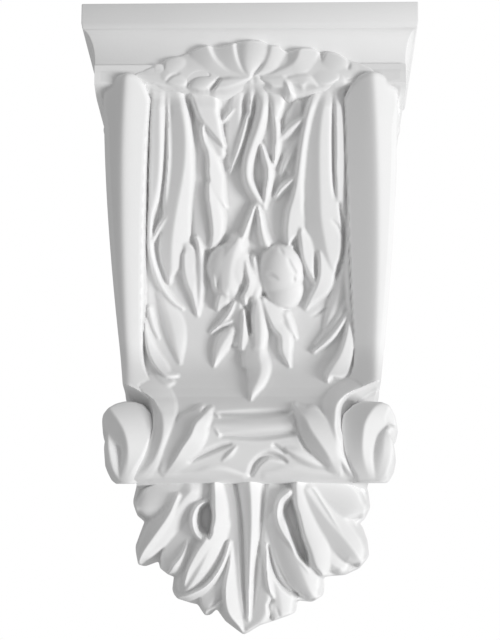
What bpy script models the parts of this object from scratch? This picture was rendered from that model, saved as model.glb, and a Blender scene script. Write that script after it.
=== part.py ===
"""A carved plaster corbel: a slab on a scrolled bracket, with acanthus leaves on its front.

The corbel is one cast. It hangs on a wall: X runs across, +Z is up, the wall is the plane Y = 0
and the front faces -Y. The origin is on the flat back, half way up.
"""

import math

import bmesh
import bpy
import numpy as np

# Driving dimensions, in metres
WIDTH = 0.170                # across the slab
HEIGHT = 0.309               # top of the slab to the tip of the hanging leaf
DEPTH = 0.130                # wall to the front of the slab
SLAB_EDGE = 0.0105           # height of the slab's plain edge
SLAB_CHAMFER = 0.0028        # height of the chamfer below it
HOLLOW_HEIGHT = 0.015        # height of the hollow moulding
HOLLOW_DEEP = 0.0062         # how far the hollow draws the neck's sides in
HOLLOW_FRONT = 0.0090        # and its front
NECK_HEIGHT = 0.012          # plain neck below the hollow
BODY_TOP_WIDTH = 0.1480      # across the body, under the neck
BODY_FOOT_WIDTH = 0.1312     # across the body, over the scroll
BODY_BULGE = 0.0028          # how far each side swells between the two
BODY_FLARE = 0.0046          # how far each side spreads to meet the neck
BAR_SIDE_TOP = 0.0117        # body's side to the ridge of each of the bars that edge the front
BAR_SIDE_FOOT = 0.0024       # and at the foot
BAR_FACE_TOP = 0.0137        # a bar's ridge to its inner edge, at the top
BAR_FACE_FOOT = 0.0076       # and at the foot
BAR_BEHIND = 0.0025          # front of the slab to a bar's ridge, at its top
BAR_FOOT_DEPTH = 0.0660      # and at its foot
CHANNEL_DEEP = 0.0150        # ridge of a bar to the floor between them, at the top
CHANNEL_FOOT_DEEP = 0.0060   # and at the foot
SCROLL_RADIUS = 0.0215       # the big roll across the foot
SCROLL_AXIS_DEPTH = 0.0640   # wall to its axis
SCROLL_AXIS_UP = -0.0580     # height of its axis
VOLUTE_RADIUS = 0.0215       # the scroll's rolled ends
VOLUTE_FORWARD = 0.0040      # how far their axis lies in front of the scroll's
LEAF_TOP_DEPTH = 0.0600      # wall to the hanging leaf, at its top
LEAF_TIP_DEPTH = 0.0390      # and at its tip
EYE = (0.0195, -1.156, -0.252)   # where the front drawing is seen from
AIM = (0.0, -0.065, 0.0)         # and the point that it looks at

# The carving is set out on a front drawing of 170 by 320 units
DRAWN_WIDTH = 170.0
DRAWN_SCALE = 1091.5         # units on the drawing for a slope of one from the eye
DRAWN_MIDDLE = (0.76, 154.2)
DRAWN_DEPTH = 130.0
DRAWN_HEIGHT = 309.0
DRAWN_PER_METRE = 1000.0
UNIT = WIDTH / DRAWN_WIDTH

# Sizes that follow from those above, and small ones
CHAMFER_IN = 0.0006
HOLLOW_STEPS = 5
NECK_FOOT = HEIGHT / 2 - SLAB_EDGE - SLAB_CHAMFER - HOLLOW_HEIGHT - NECK_HEIGHT
BODY_TOP = NECK_FOOT + 0.006
BODY_FOOT = SCROLL_AXIS_UP + SCROLL_RADIUS + 0.004
BODY_BASE = SCROLL_AXIS_UP - SCROLL_RADIUS * 0.985
BODY_FLARE_HEIGHT = 0.021    # height over which the sides spread to the neck
BAR_RIDGE_TOP = BODY_TOP_WIDTH / 2 - BAR_SIDE_TOP
BAR_RIDGE_FOOT = BODY_FOOT_WIDTH / 2 - BAR_SIDE_FOOT
BAR_INNER_TOP = BAR_RIDGE_TOP - BAR_FACE_TOP
BAR_INNER_FOOT = BAR_RIDGE_FOOT - BAR_FACE_FOOT
BAR_TOP_DEPTH = DEPTH - BAR_BEHIND
BEHIND_VOLUTE = 0.006        # how far the sides draw in behind the volutes
BAR_CURVE = 0.65             # how much of an S the bars' front is, from 0 to 1
BAR_OUTER_SLOPE = 1.0        # fall of a bar's outer face for each metre across
BAR_INNER_SLOPE = 0.48       # of its inner face
BAR_SIDE_SLOPE = 3.0         # past its side
BAR_STEP_SLOPE = 7.0         # and at the step to the floor
BAR_RIDGE_ROUND = 0.0022
BAR_BULGE = 0.0025           # how far its ridge swings outward half way up
BAR_SHIFT = 0.0012           # both bars' inner edges lie this much to the left
BAR_SHIFT_MIDDLE = 0.0060    # and more half way up
BAR_NARROWING = 1.3          # how late up the body a bar widens
BAR_CURL = 0.0100            # how far a bar's foot turns in
BAR_CURL_HEIGHT = 0.0065
BAR_CURL_END = 0.010
BAR_END = BODY_FOOT - 0.006
BAR_IN_NECK = 0.0004         # the cove under the neck ends this far behind its front
BAR_TOP = NECK_FOOT + 0.0052
BAR_TOP_ROUND = 0.004
BAR_END_SLOPE = 4.0
BAR_ARCH = 0.011             # how far the arched top of a bar falls to its edges
BAR_ARCH_OUTER = 0.66        # the share of that fall that its outer edge reaches
BAR_ARCH_POWER = 3.0
BAR_ARCH_REACH = 1.3
FOOT_SLOPE = 2.0             # fall of a bar's foot on the scroll
FOOT_BLEND = 0.010           # height over which the body's front draws in to the roll's width
SCROLL_FILLET = 0.006
ROLL_SHORT = 0.002           # past the roll's edge it counts as this far behind its axis
CORE_BEHIND = 0.004          # the core between the volutes lies this far behind it
RUN_OUT = 0.0195             # how far the floor comes forward on to the scroll
RUN_OUT_TOP = -0.0080
RUN_OUT_HEIGHT = 0.0400
SCROLL_HALF = BODY_FOOT_WIDTH / 2 - 0.0185
SCROLL_WAIST = -0.0545       # where the scroll is narrowest
SCROLL_SPREAD = 0.0140       # how much wider each side is at its foot
SCROLL_SPREAD_HEIGHT = 0.0225
SCROLL_SPREAD_POWER = 1.6
SCROLL_TOP_POWER = 4.0
SCROLL_SHIFT = 0.0022        # and how far both its ends lie to the left
SCROLL_END_SLOPE = 4.0
SCROLL_END_FADE = 0.003      # the carving fades out over this at the scroll's ends
VOLUTE_INNER = BODY_FOOT_WIDTH / 2 - 0.0206
VOLUTE_OUTER = BODY_FOOT_WIDTH / 2 + 0.0164
VOLUTE_MARGIN = 0.006        # of drawing above and below a volute
VOLUTE_DEPTH = SCROLL_AXIS_DEPTH + VOLUTE_FORWARD
VOLUTE_DRAWN = VOLUTE_DEPTH + VOLUTE_RADIUS * 0.85   # where the drawing meets a volute's face
DRUM_OVER = 0.0012           # how far the bar that rounds a volute's back stands over its radius
DRUM_LONG = 1.5              # its length, in widths of a volute
LEAF_HALF = BODY_FOOT_WIDTH / 2
LEAF_MARGIN = 0.012          # of drawing below the leaf's tip
LEAF_HIGH = SCROLL_AXIS_UP - SCROLL_RADIUS * 0.6   # its root, inside the scroll
LEAF_GROUND = -22.0          # on the drawing: the ground between its lobes
FLATTENED = 0.02             # what would hang below the full height is pressed to this share
CREST_HALF = BODY_TOP_WIDTH / 2 - 0.0012
CREST_SUNK = 0.0015          # how far the crest's ground lies in the neck
CREST_BACK = 0.0004          # how far its highest leaf stays behind the slab's front
CREST_LOW = NECK_FOOT - 0.012
CREST_HIGH = NECK_FOOT + 0.026
CREST_ROOT = 0.030
CREST_GROUND = -5.0          # on the drawing: what is lower falls back out of sight
CREST_FALL = 4.0             # for each unit
CREST_HIDDEN = -25.0         # as far as this
NECK_COVE = 0.010            # radius that carries the floor out under the neck
LEAF_FADE = 0.85             # share of their height that the leaves lose there
CHEEK_LOW = BODY_FOOT + 0.004
CHEEK_HIGH = NECK_FOOT + 0.002
CHEEK_BACK = 0.010
CHEEK_INNER = BODY_FOOT_WIDTH / 2 - 0.007
CHEEK_SUNK = 0.0006          # how far the cheeks' ground lies in the body's side
CHEEK_EDGE = 0.0130          # how far behind the bars' ridge they end
CHEEK_GROUND = -2.0          # on the drawing: the lowest that they fall
LEAN_FADE_TOP = 0.02         # the lean fades out over these, at the body's top and base
LEAN_FADE_FOOT = 0.01
LEAN = 0.23                  # how far a raised form drops for its height, along the sight line
LEAF_LEAN = 0.18             # and on the hanging leaf, where the sight line is flatter
BURIED = 0.008               # how far blocks run on behind the wall plane, before it is cut flat
CUT_BACK = 0.003             # what an outline cuts off lies this much nearer than that
BODY_IN_NECK = 0.004         # how far the body runs up into the neck, past its carving

# How finely the carving is worked
STEP = 0.8                   # of the drawing, in its units
SOFTEN = 2                   # rounds of softening
BODY_CELLS = (120, 170)
BODY_FACES = 4600
CREST_CELLS = (110, 34)
CREST_FACES = 900
LEAF_CELLS = (100, 74)
LEAF_FACES = 1700
VOLUTE_CELLS = (34, 52)
VOLUTE_FACES = 420
CHEEK_CELLS = (36, 60)
CHEEK_FACES = 260
DRUM_SEGMENTS = 40

# The outline of the hanging leaf on the drawing
LEAF_OUTLINE = [
    (-56, 98), (-57.5, 73), (-59.2, 66), (-57.4, 60.4), (-52.4, 56.2), (-55.6, 48), (-58.0, 41.5),
    (-56.8, 35.4), (-52, 37.2), (-45.6, 39.6), (-45.6, 33.4), (-42, 30.6), (-37.4, 28.6),
    (-38.6, 20), (-37, 18.2), (-30, 15.8), (-26.6, 15.0), (-23.0, 9.6), (-20.5, 12.2),
    (-17.0, 13.0), (-12, 6), (-6, 1.6), (-3.6, 0), (4, 4.6), (11, 6.8), (20.4, 10.2),
    (21.2, 17.2), (25, 17.2), (31, 16.6), (34.6, 18.8), (34.6, 29.0), (40, 30.0), (48, 30.6),
    (54.5, 33.6), (58.0, 38), (57.2, 44), (55, 50), (51.6, 55), (56.4, 58.8), (58.4, 63),
    (57.6, 69), (56, 75), (55, 98)]


# The outline of the flower and its band
CREST_OUTLINE = [
    (-60, 282), (-58, 284), (-50, 287), (-45, 289.4), (-42, 291.2), (-34, 293), (-27, 296.2),
    (-22, 297.9), (-15.4, 297.0), (-9, 298.6), (-6, 299.5), (0.5, 300.4), (5, 300.1), (9.8, 298),
    (14.5, 297.5), (18, 294.6), (22.4, 295.2), (26, 296.5), (31, 296.6), (35, 294.4), (38, 295.2),
    (42, 294.6), (45, 293.2), (49, 290.7), (55, 289.0), (60, 287.2), (64, 284.2), (68.4, 279.4),
    (60, 280.2), (44, 279.0), (38, 275.8), (20, 271.8), (-22, 272.4), (-31, 274.8), (-44, 276.0),
    (-56, 279.0)]

# The outlines of the rolled ends
VOLUTE_OUTLINES = (
    [(-54.4, 118.8), (-59, 120.4), (-64.5, 120.6), (-69, 119), (-73, 116), (-75.6, 112.8), (-76.2, 110),
     (-75.6, 106.5), (-74.2, 103.5), (-74.6, 100), (-75.2, 96.7), (-74.9, 92), (-73.5, 88),
     (-71.6, 83.6), (-69, 80.3), (-65, 77.1), (-59.3, 81.7), (-53.5, 89.4), (-51, 94.6),
     (-49.2, 99.6), (-48.6, 105), (-49, 109.3), (-50.6, 114)],
    [(52.3, 118.8), (57, 120.6), (66.6, 120), (71, 118), (73.7, 114), (74.5, 110), (73.5, 105.5),
     (71.5, 102.5), (73, 99), (73.5, 94), (72.5, 88), (70, 82), (66, 78.6), (60, 76.5), (56, 77.4),
     (54.0, 79.9), (50.0, 85), (46.6, 92.9), (45.0, 99.6), (44.6, 107.4), (46.2, 113)])


BOTH = (1, -1)               # the right side and the left
STEEP = 9.0                  # fall of a lobe's edge, against 4 for a leaf's
OUTER_WALL = 14.0            # and of what an outline cuts off
RIM = 0.2                    # height of an outline's rim, as a share of the highest form
TINY = 1e-6                  # keeps a division from failing


class Sheet:
    """Heights over part of the front drawing, in drawing units. u runs right and v up."""

    def __init__(self, u_range, v_range, step, level):
        self.u = np.arange(u_range[0], u_range[1] + step, step)
        self.v = np.arange(v_range[0], v_range[1] + step, step)
        self.step = step
        self.grid = np.meshgrid(self.u, self.v)
        self.height = np.full(self.grid[0].shape, float(level))

    def window(self, path, reach):
        """The part of the sheet that a path reaches."""
        reach = reach + path[:, 2:4].max()
        cols = np.searchsorted(self.u, (path[:, 0].min() - reach, path[:, 0].max() + reach))
        rows = np.searchsorted(self.v, (path[:, 1].min() - reach, path[:, 1].max() + reach))
        return slice(*rows), slice(*cols)

    def blade(self, points, lift=0.0, rise=0.0, left=None, top=None, right=None,
              crest=0.0, swell=0.0, flank=4.0):
        """Raises a leaf blade. A point is (u, v, half width). Its edges stand at left and right and its
        crest at top, or its edges at lift and its crest rise above them. crest says where the crest runs,
        from -1, the left edge, to 1, the right edge. swell rounds its slopes, and a negative one hollows
        them. Outside its edges it falls by flank for each unit."""
        top = lift + rise if top is None else top
        left = lift if left is None else left
        right = lift if right is None else right
        path = smooth_path(points)
        win = self.window(path, 4.0 + max(left, right, 0.0) / flank)
        away, turn, half = from_path(path, self.grid[0][win], self.grid[1][win])
        half = half[..., 0]
        across = turn * away / half
        slope = np.where(across < crest, (1 + across) / (1 + crest + TINY),
                         (1 - across) / (1 - crest + TINY))
        inside = np.clip(slope, 0, 1)
        full = np.sqrt(half / path[:, 2].max())
        floor = min(left, right)
        edge = floor + (np.where(across < crest, left, right) - floor) * full
        peak = floor + (top - floor) * full
        body = edge + (peak - edge) * (inside + swell * inside * (1 - inside))
        raised = np.where(slope >= 0, body, edge - flank * (away - half))
        self.height[win] = np.maximum(self.height[win], raised)

    def fold(self, points, left=0.4, right=0.4, swell=0.0, flank=4.0):
        """Raises a fold along its crest. A point is (u, v, width to the left, width to the right, height).
        It slopes down by left and right for each unit across, and by flank past its edges. swell rounds
        its slopes. Left and right are those of someone going up the crest."""
        path = smooth_path(points)
        win = self.window(path, 1.0 + max(path[:, 4].max(), 4.0) / flank)
        away, turn, there = from_path(path, self.grid[0][win], self.grid[1][win])
        width = np.where(turn < 0, there[..., 0], there[..., 1])
        slope = np.where(turn < 0, left, right)
        share = np.clip(away / width, 0, 1)
        fall = slope * width * (share - swell * share * (1 - share))
        raised = there[..., 2] - fall - flank * np.maximum(away - width, 0)
        self.height[win] = np.maximum(self.height[win], raised)

    def boss(self, centre, radii, lift, rise, turn=0.0):
        """Raises an oval boss, turned by some degrees. Its edge stands at lift, its top rise above it."""
        turn = math.radians(turn)
        u, v = self.grid[0] - centre[0], self.grid[1] - centre[1]
        across = (u * math.cos(turn) + v * math.sin(turn)) / radii[0]
        along = (v * math.cos(turn) - u * math.sin(turn)) / radii[1]
        inside = 1 - across ** 2 - along ** 2
        dome = lift + rise * np.sqrt(np.maximum(inside, 0))
        self.height = np.where(inside > 0, np.maximum(self.height, dome), self.height)

    def groove(self, points, depth):
        """Sinks a round-bottomed groove along a path."""
        path = smooth_path(points)
        win = self.window(path, 1.0)
        away, _, half = from_path(path, self.grid[0][win], self.grid[1][win])
        half = half[..., 0]
        full = np.sqrt(half / path[:, 2].max())
        self.height[win] -= depth * full * np.clip(1 - (away / half) ** 2, 0, 1)

    def hollow(self, points, floor, wall=4.0):
        """Cuts a steep-sided hollow down to a level."""
        path = smooth_path(points)
        win = self.window(path, 0.5)
        away, _, half = from_path(path, self.grid[0][win], self.grid[1][win])
        half = half[..., 0]
        here = self.height[win]
        cut = np.maximum(floor, here - wall * (half - away))
        self.height[win] = np.minimum(here, np.where(away < half, cut, here))

    def keep_within(self, *outlines):
        """Lets everything outside closed outlines fall away steeply."""
        u, v = self.grid
        limit = np.full(u.shape, -1e3)
        for outline in outlines:
            inside = np.zeros(u.shape, bool)
            away = np.full(u.shape, np.inf)
            for (u0, v0), (u1, v1) in zip(outline, outline[1:] + outline[:1]):
                crosses = (v0 > v) != (v1 > v)
                meet = u0 + (v - v0) * (u1 - u0) / (v1 - v0 + TINY)
                inside ^= crosses & (u < meet)
                du, dv = u1 - u0, v1 - v0
                share = np.clip(((u - u0) * du + (v - v0) * dv) / (du * du + dv * dv), 0, 1)
                away = np.minimum(away, np.hypot(u - u0 - share * du, v - v0 - share * dv))
            limit = np.maximum(limit, np.where(inside, away, -away))
        self.height = np.minimum(self.height, OUTER_WALL * limit + self.height.max() * RIM)

    def soften(self, rounds):
        """Rounds every edge a little, as a cast's are."""
        for _ in range(rounds):
            for axis in (0, 1):
                size = self.height.shape[axis]
                edged = np.pad(self.height, [(1, 1) if axis == k else (0, 0) for k in (0, 1)], mode="edge")
                low, mid, high = (np.take(edged, range(k, k + size), axis) for k in range(3))
                self.height = (low + 2 * mid + high) / 4

    def at(self, u, v):
        """The height at any points of the drawing."""
        x = np.clip((u - self.u[0]) / self.step, 0, len(self.u) - 1.001)
        y = np.clip((v - self.v[0]) / self.step, 0, len(self.v) - 1.001)
        i, j = x.astype(int), y.astype(int)
        fx, fy = x - i, y - j
        h = self.height
        return ((h[j, i] * (1 - fx) + h[j, i + 1] * fx) * (1 - fy)
                + (h[j + 1, i] * (1 - fx) + h[j + 1, i + 1] * fx) * fy)


def smooth_path(points, steps=6):
    """A smooth curve through points of u, v, widths and height."""
    p = np.array(points, float)
    p = np.vstack([2 * p[0] - p[1], p, 2 * p[-1] - p[-2]])
    curve = []
    for a, b, c, d in zip(p, p[1:], p[2:], p[3:]):
        for t in np.arange(steps) / steps:
            curve.append(b + 0.5 * ((c - a) * t + (2 * a - 5 * b + 4 * c - d) * t ** 2
                                    + (3 * b - a - 3 * c + d) * t ** 3))
    curve = np.array(curve + [p[-2]])
    curve[:, 2:4] = np.maximum(curve[:, 2:4], 0.05)
    return curve


def from_path(path, u, v):
    """How far points lie from a path, on which side of it (-1 left, 1 right), and what it carries there."""
    nearest = np.full(u.shape, np.inf)
    turn = np.zeros(u.shape)
    there = np.ones(u.shape + (path.shape[1] - 2,))
    for a, b in zip(path, path[1:]):
        du, dv = b[:2] - a[:2]
        share = np.clip(((u - a[0]) * du + (v - a[1]) * dv) / (du * du + dv * dv + TINY), 0, 1)
        distance = np.hypot(u - a[0] - share * du, v - a[1] - share * dv)
        closer = distance < nearest
        nearest = np.where(closer, distance, nearest)
        turn = np.where(closer, dv * (u - a[0]) - du * (v - a[1]), turn)
        there = np.where(closer[..., None], a[2:] + share[..., None] * (b[2:] - a[2:]), there)
    runs_up = 1.0 if path[-1, 1] > path[0, 1] else -1.0
    return nearest, np.sign(turn) * runs_up, there


def carve_side_leaves(s):
    """The long acanthus leaves on each side of the front."""
    carve_left_leaves(s)
    carve_right_leaves(s)


def carve_left_leaves(s):
    # ground leaf between the long leaf and the curled ones
    s.blade([(-25.6, 262, 2.4), (-25.2, 246, 3.2), (-25.0, 230, 3.6), (-24.6, 215, 4.4), (-24.2, 203, 4.4),
             (-22.8, 197, 2.6)],
            rise=1.0, crest=0.3, swell=0.5, lift=2.6)
    # outer stem beside the bar, which thins out and swings inward at its foot
    s.fold([(-45.0, 286, 3.4, 1.4, 6.6), (-45.2, 262, 4.8, 2.2, 8.2), (-45.2, 245, 5.0, 2.4, 8.2),
            (-46.0, 230, 4.6, 2.2, 7.4), (-48.2, 218, 2.6, 1.6, 6.2), (-50.1, 208, 1.4, 1.3, 5.2),
            (-50.4, 196, 1.2, 1.3, 4.6), (-48.6, 186, 1.0, 1.3, 4.2), (-45.0, 176.6, 1.0, 1.3, 3.9),
            (-40.0, 169.4, 0.9, 1.4, 3.4), (-34.2, 164.6, 0.3, 0.5, 2.2)],
           left=0.22, right=0.75)
    # the long leaf
    s.fold([(-41.0, 286, 2.6, 1.0, 6.6), (-35.0, 267.5, 5.0, 2.0, 8.4), (-32.9, 258, 7.0, 2.2, 9.2),
            (-32.2, 248, 8.2, 3.0, 9.4), (-32.6, 238, 8.2, 3.8, 9.2), (-34.0, 228, 7.4, 5.0, 8.8),
            (-36.0, 218, 6.2, 6.0, 8.2), (-37.8, 208, 6.0, 7.6, 7.6), (-39.0, 199, 6.4, 8.8, 7.0),
            (-39.4, 191, 5.8, 8.6, 6.2), (-39.6, 184.5, 3.8, 6.0, 5.0), (-40.8, 178, 0.6, 0.6, 3.0)],
           left=0.42, right=0.62, swell=0.15)
    s.fold([(-33.4, 192, 0.5, 6.0, 5.8), (-33.2, 185, 0.6, 5.4, 5.6), (-31.8, 178, 0.6, 4.4, 5.2),
            (-29.2, 171.2, 0.4, 1.8, 4.6), (-27.0, 161.8, 0.2, 0.4, 2.4)],
           left=0.8, right=0.34)
    s.fold([(-42.0, 282, 0.6, 1.2, 6.2), (-41.7, 258, 0.6, 1.7, 7.4), (-41.6, 244, 0.7, 1.8, 7.8),
            (-41.9, 232, 0.6, 1.9, 7.4), (-42.8, 221, 0.6, 1.6, 6.6), (-43.0, 213, 0.3, 0.6, 4.6)],
           left=1.5, right=0.75)
    s.groove([(-42.3, 266, 0.3), (-42.4, 250, 0.8), (-42.8, 239, 0.9), (-43.5, 231, 0.8),
              (-44.6, 222.5, 0.3)],
             depth=3.4)
    s.fold([(-40.0, 214, 0.5, 0.4, 6.0), (-43.2, 208.6, 1.2, 0.6, 6.4), (-46.2, 204, 1.2, 0.6, 6.0),
            (-49.0, 198.8, 0.4, 0.3, 4.6)],
           left=0.5, right=1.6)
    s.hollow([(-46.2, 218, 0.4), (-47.4, 212, 1.5), (-48.2, 206.6, 1.0), (-48.6, 202.4, 0.3)], floor=1.4)
    s.hollow([(-36.4, 184.2, 0.5), (-37.2, 178.5, 3.0), (-35.4, 172.5, 2.6), (-32.4, 167.5, 0.5)],
             floor=0.6, wall=3.0)
    # the leaf under the crest, its torn tip and the fold below it
    s.blade([(-21.6, 255, 1.6), (-18.0, 249, 3.6), (-15.2, 243, 2.2)], rise=0.6, crest=0.3, lift=4.6)
    s.fold([(-34.0, 286, 0.6, 11.6, 7.4), (-28.2, 269, 0.6, 11.0, 8.2), (-25.0, 260.8, 0.6, 9.6, 8.6),
            (-20.6, 255, 0.5, 6.4, 8.4), (-16.4, 250, 0.4, 2.6, 7.8), (-13.6, 246.2, 0.2, 0.3, 7.0)],
           left=1.0, right=0.16, swell=0.2)
    s.fold([(-13.6, 259.6, 0.3, 0.8, 4.6), (-11.0, 262.4, 0.4, 0.9, 4.8), (-8.6, 265, 0.2, 0.3, 4.6)],
           left=1.0, right=0.6)
    # two curled leaves with a sharp outer edge
    s.fold([(-23.5, 259.4, 0.4, 0.5, 7.8), (-24.3, 254, 0.5, 1.1, 8.4), (-23.3, 248.4, 0.5, 1.6, 8.4),
            (-21.4, 243.6, 0.5, 2.6, 8.2), (-20.7, 238, 0.5, 5.4, 8.0), (-20.7, 232, 0.5, 7.0, 7.6),
            (-19.2, 226, 0.5, 6.4, 6.8), (-16.6, 221, 0.5, 4.0, 5.8), (-12.8, 216, 0.2, 0.4, 4.2)],
           left=1.0, right=0.52, swell=0.2)
    s.fold([(-21.0, 227.8, 0.3, 0.5, 7.6), (-21.0, 222, 0.4, 2.8, 8.0), (-20.1, 215, 0.4, 5.4, 8.2),
            (-19.2, 208, 0.4, 5.8, 8.0), (-18.9, 202, 0.4, 4.8, 7.2), (-19.5, 197.6, 0.4, 2.8, 6.2),
            (-20.3, 195.4, 0.2, 0.5, 5.2)],
           left=1.0, right=0.55, swell=0.25)
    # the low leaf beside the bud
    s.fold([(-27.2, 200.6, 0.2, 0.3, 4.8), (-25.8, 196, 0.5, 1.2, 5.8), (-25.0, 190, 1.8, 1.6, 5.2),
            (-24.8, 182, 2.4, 1.6, 4.6), (-25.2, 174, 2.0, 1.6, 3.8), (-26.0, 167, 1.0, 1.2, 2.8),
            (-26.6, 161.4, 0.3, 0.3, 1.8)],
           left=0.55, right=0.7, flank=2.5)
    # fronds that curl in along the foot of the bar
    s.fold([(-44.6, 172, 2.4, 2.0, 1.8), (-42.2, 165, 3.0, 4.6, 2.4), (-39.4, 156, 3.6, 6.2, 2.8),
            (-37.4, 147, 2.4, 4.2, 2.6), (-35.6, 137.6, 0.5, 0.6, 1.2)],
           left=0.30, right=0.36, swell=0.5, flank=1.2)
    s.fold([(-51.0, 165, 1.0, 0.8, 2.6), (-49.2, 157, 1.2, 1.0, 2.4), (-46.4, 150, 0.4, 0.4, 1.2)],
           left=0.6, right=0.6, flank=2.0)
    s.fold([(-53.4, 159, 0.4, 0.5, 4.0), (-52.6, 150.6, 0.6, 2.2, 5.0), (-50.8, 142.6, 0.8, 3.8, 5.4),
            (-47.4, 136, 0.9, 4.8, 5.2), (-42.4, 131.4, 0.9, 3.2, 4.4), (-37.0, 131.0, 0.3, 0.5, 3.0)],
           left=1.0, right=0.62, swell=0.2)
    s.blade([(-47.0, 131, 1.6), (-43.0, 127.4, 2.4), (-39.6, 127.8, 1.2)], rise=1.2, swell=0.6, lift=1.0,
            flank=2.0)


def carve_right_leaves(s):
    # ground between the thorns
    s.blade([(24.0, 268, 2.0), (21.5, 258, 4.2), (20.6, 247, 4.4), (20.4, 237, 3.2), (21.0, 230, 1.0)],
            rise=1.0, crest=0.5, swell=0.5, lift=2.2)
    # outer strip beside the bar
    s.fold([(47.8, 222, 1.0, 1.2, 5.0), (48.7, 208, 1.2, 1.2, 5.0), (48.4, 194, 1.8, 1.6, 4.6),
            (46.8, 182, 2.8, 2.4, 4.2), (44.2, 172, 3.0, 3.4, 3.8), (41.0, 163, 2.4, 4.0, 3.0),
            (37.4, 155, 0.6, 2.0, 1.8)],
           left=0.5, right=0.35)
    s.fold([(49.2, 214, 0.5, 1.4, 5.2), (49.4, 201, 1.0, 2.2, 6.6), (49.8, 188, 1.6, 2.6, 7.4),
            (50.2, 176, 1.8, 2.8, 7.6), (50.6, 166, 1.4, 2.8, 7.0), (51.4, 156, 0.8, 2.4, 5.6),
            (52.2, 147, 0.3, 0.6, 3.6)],
           left=0.5, right=0.5)
    s.fold([(42.9, 286, 0.5, 4.2, 7.0), (42.4, 263, 0.5, 5.0, 8.6), (42.3, 250, 0.5, 5.4, 8.8),
            (42.5, 238, 0.5, 5.6, 8.6), (43.2, 226, 0.6, 5.0, 7.8), (44.2, 216, 0.6, 3.4, 6.8),
            (45.2, 207, 0.4, 1.4, 6.0)],
           left=1.2, right=0.34)
    # the long leaf, its inner rim and its hooked foot
    s.fold([(42.0, 286, 3.0, 1.2, 6.8), (37.8, 268.6, 4.6, 3.2, 8.6), (36.0, 260, 5.8, 4.8, 9.2),
            (35.1, 250, 6.8, 6.0, 9.4), (34.9, 240, 7.4, 6.3, 9.4), (35.0, 230, 7.8, 6.6, 9.2),
            (35.3, 220, 8.2, 8.2, 8.8), (35.8, 210, 8.6, 10.0, 8.4), (37.2, 201, 7.6, 9.2, 7.8),
            (38.8, 193, 6.2, 7.4, 7.0), (40.6, 187, 4.0, 4.0, 6.0), (42.4, 183.8, 0.6, 0.6, 4.8)],
           left=0.46, right=0.28, swell=0.1)
    s.fold([(38.4, 286, 1.6, 2.4, 8.4), (31.4, 269.4, 1.2, 2.2, 9.0), (28.9, 262, 1.0, 2.0, 9.2),
            (27.3, 255, 1.0, 2.0, 9.2), (25.9, 247, 1.0, 2.0, 9.0), (24.7, 238, 1.0, 2.2, 8.8),
            (23.6, 229, 1.0, 2.6, 8.4), (22.0, 221, 1.0, 4.4, 8.0), (20.0, 214, 1.2, 6.6, 7.6),
            (18.9, 206, 1.2, 8.2, 7.0), (18.9, 200, 1.0, 7.4, 6.4), (19.5, 196.6, 0.6, 2.0, 5.6)],
           left=1.0, right=0.34, swell=0.2)
    s.hollow([(19.4, 196.2, 0.4), (22.4, 198.4, 1.7), (24.8, 199.6, 2.0), (25.6, 195, 1.6),
              (25.4, 190.0, 0.4)],
             floor=0.0, wall=5.0)
    s.fold([(25.0, 203.2, 0.4, 2.4, 6.8), (25.6, 198, 0.4, 5.0, 7.2), (26.6, 191, 0.5, 5.4, 7.0),
            (28.8, 185, 0.6, 4.2, 6.4), (31.6, 179.6, 0.5, 2.0, 5.4), (33.4, 175.8, 0.2, 0.4, 4.4)],
           left=1.2, right=0.40)
    s.groove([(42.1, 267, 0.3), (41.7, 252, 0.8), (41.8, 238, 0.8), (42.1, 228, 0.7), (42.5, 221, 0.3)],
             depth=4.5)
    s.groove([(44.5, 218, 0.5), (46.0, 211, 0.8), (47.0, 204, 0.8), (46.8, 195, 0.8), (45.4, 187, 0.9),
              (41.8, 178.2, 0.9), (36.6, 172, 0.9), (30.2, 166.6, 0.5)],
             depth=4.0)
    s.groove([(41, 209.4, 0.3), (44.2, 205.8, 0.6), (46.4, 201.8, 0.4)], depth=1.6)
    s.hollow([(32.8, 190, 0.5), (33.2, 184, 1.2), (33.9, 177.4, 0.5)], floor=1.6)
    s.fold([(34.6, 193.4, 0.3, 0.5, 6.6), (35.0, 187.6, 0.4, 6.0, 7.2), (34.9, 181.4, 0.5, 7.4, 7.2),
            (33.4, 176, 0.5, 6.6, 6.6), (30.8, 170.8, 0.5, 3.8, 5.4), (28.0, 165.0, 0.2, 0.4, 3.6)],
           left=1.2, right=0.42, swell=0.3)
    # thorns between the rim and the ribbons
    s.fold([(27.6, 260.6, 0.8, 0.6, 7.6), (22.4, 257.0, 1.3, 1.6, 7.8), (17.8, 253.0, 1.3, 2.0, 7.2),
            (14.4, 249.0, 0.4, 0.4, 6.0)],
           left=0.6, right=0.7)
    s.fold([(24.6, 250, 1.6, 0.8, 4.8), (20.6, 243, 2.4, 1.2, 5.0), (17.4, 236.8, 1.6, 1.0, 4.4),
            (15.6, 232.6, 0.4, 0.4, 3.0)],
           left=0.5, right=0.7)
    s.fold([(23.3, 231, 0.6, 0.5, 7.2), (19.4, 228.2, 1.0, 0.9, 7.0), (15.8, 225.2, 1.0, 0.9, 6.4),
            (13.0, 221.4, 0.3, 0.3, 5.0)],
           left=0.6, right=0.7)
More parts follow.
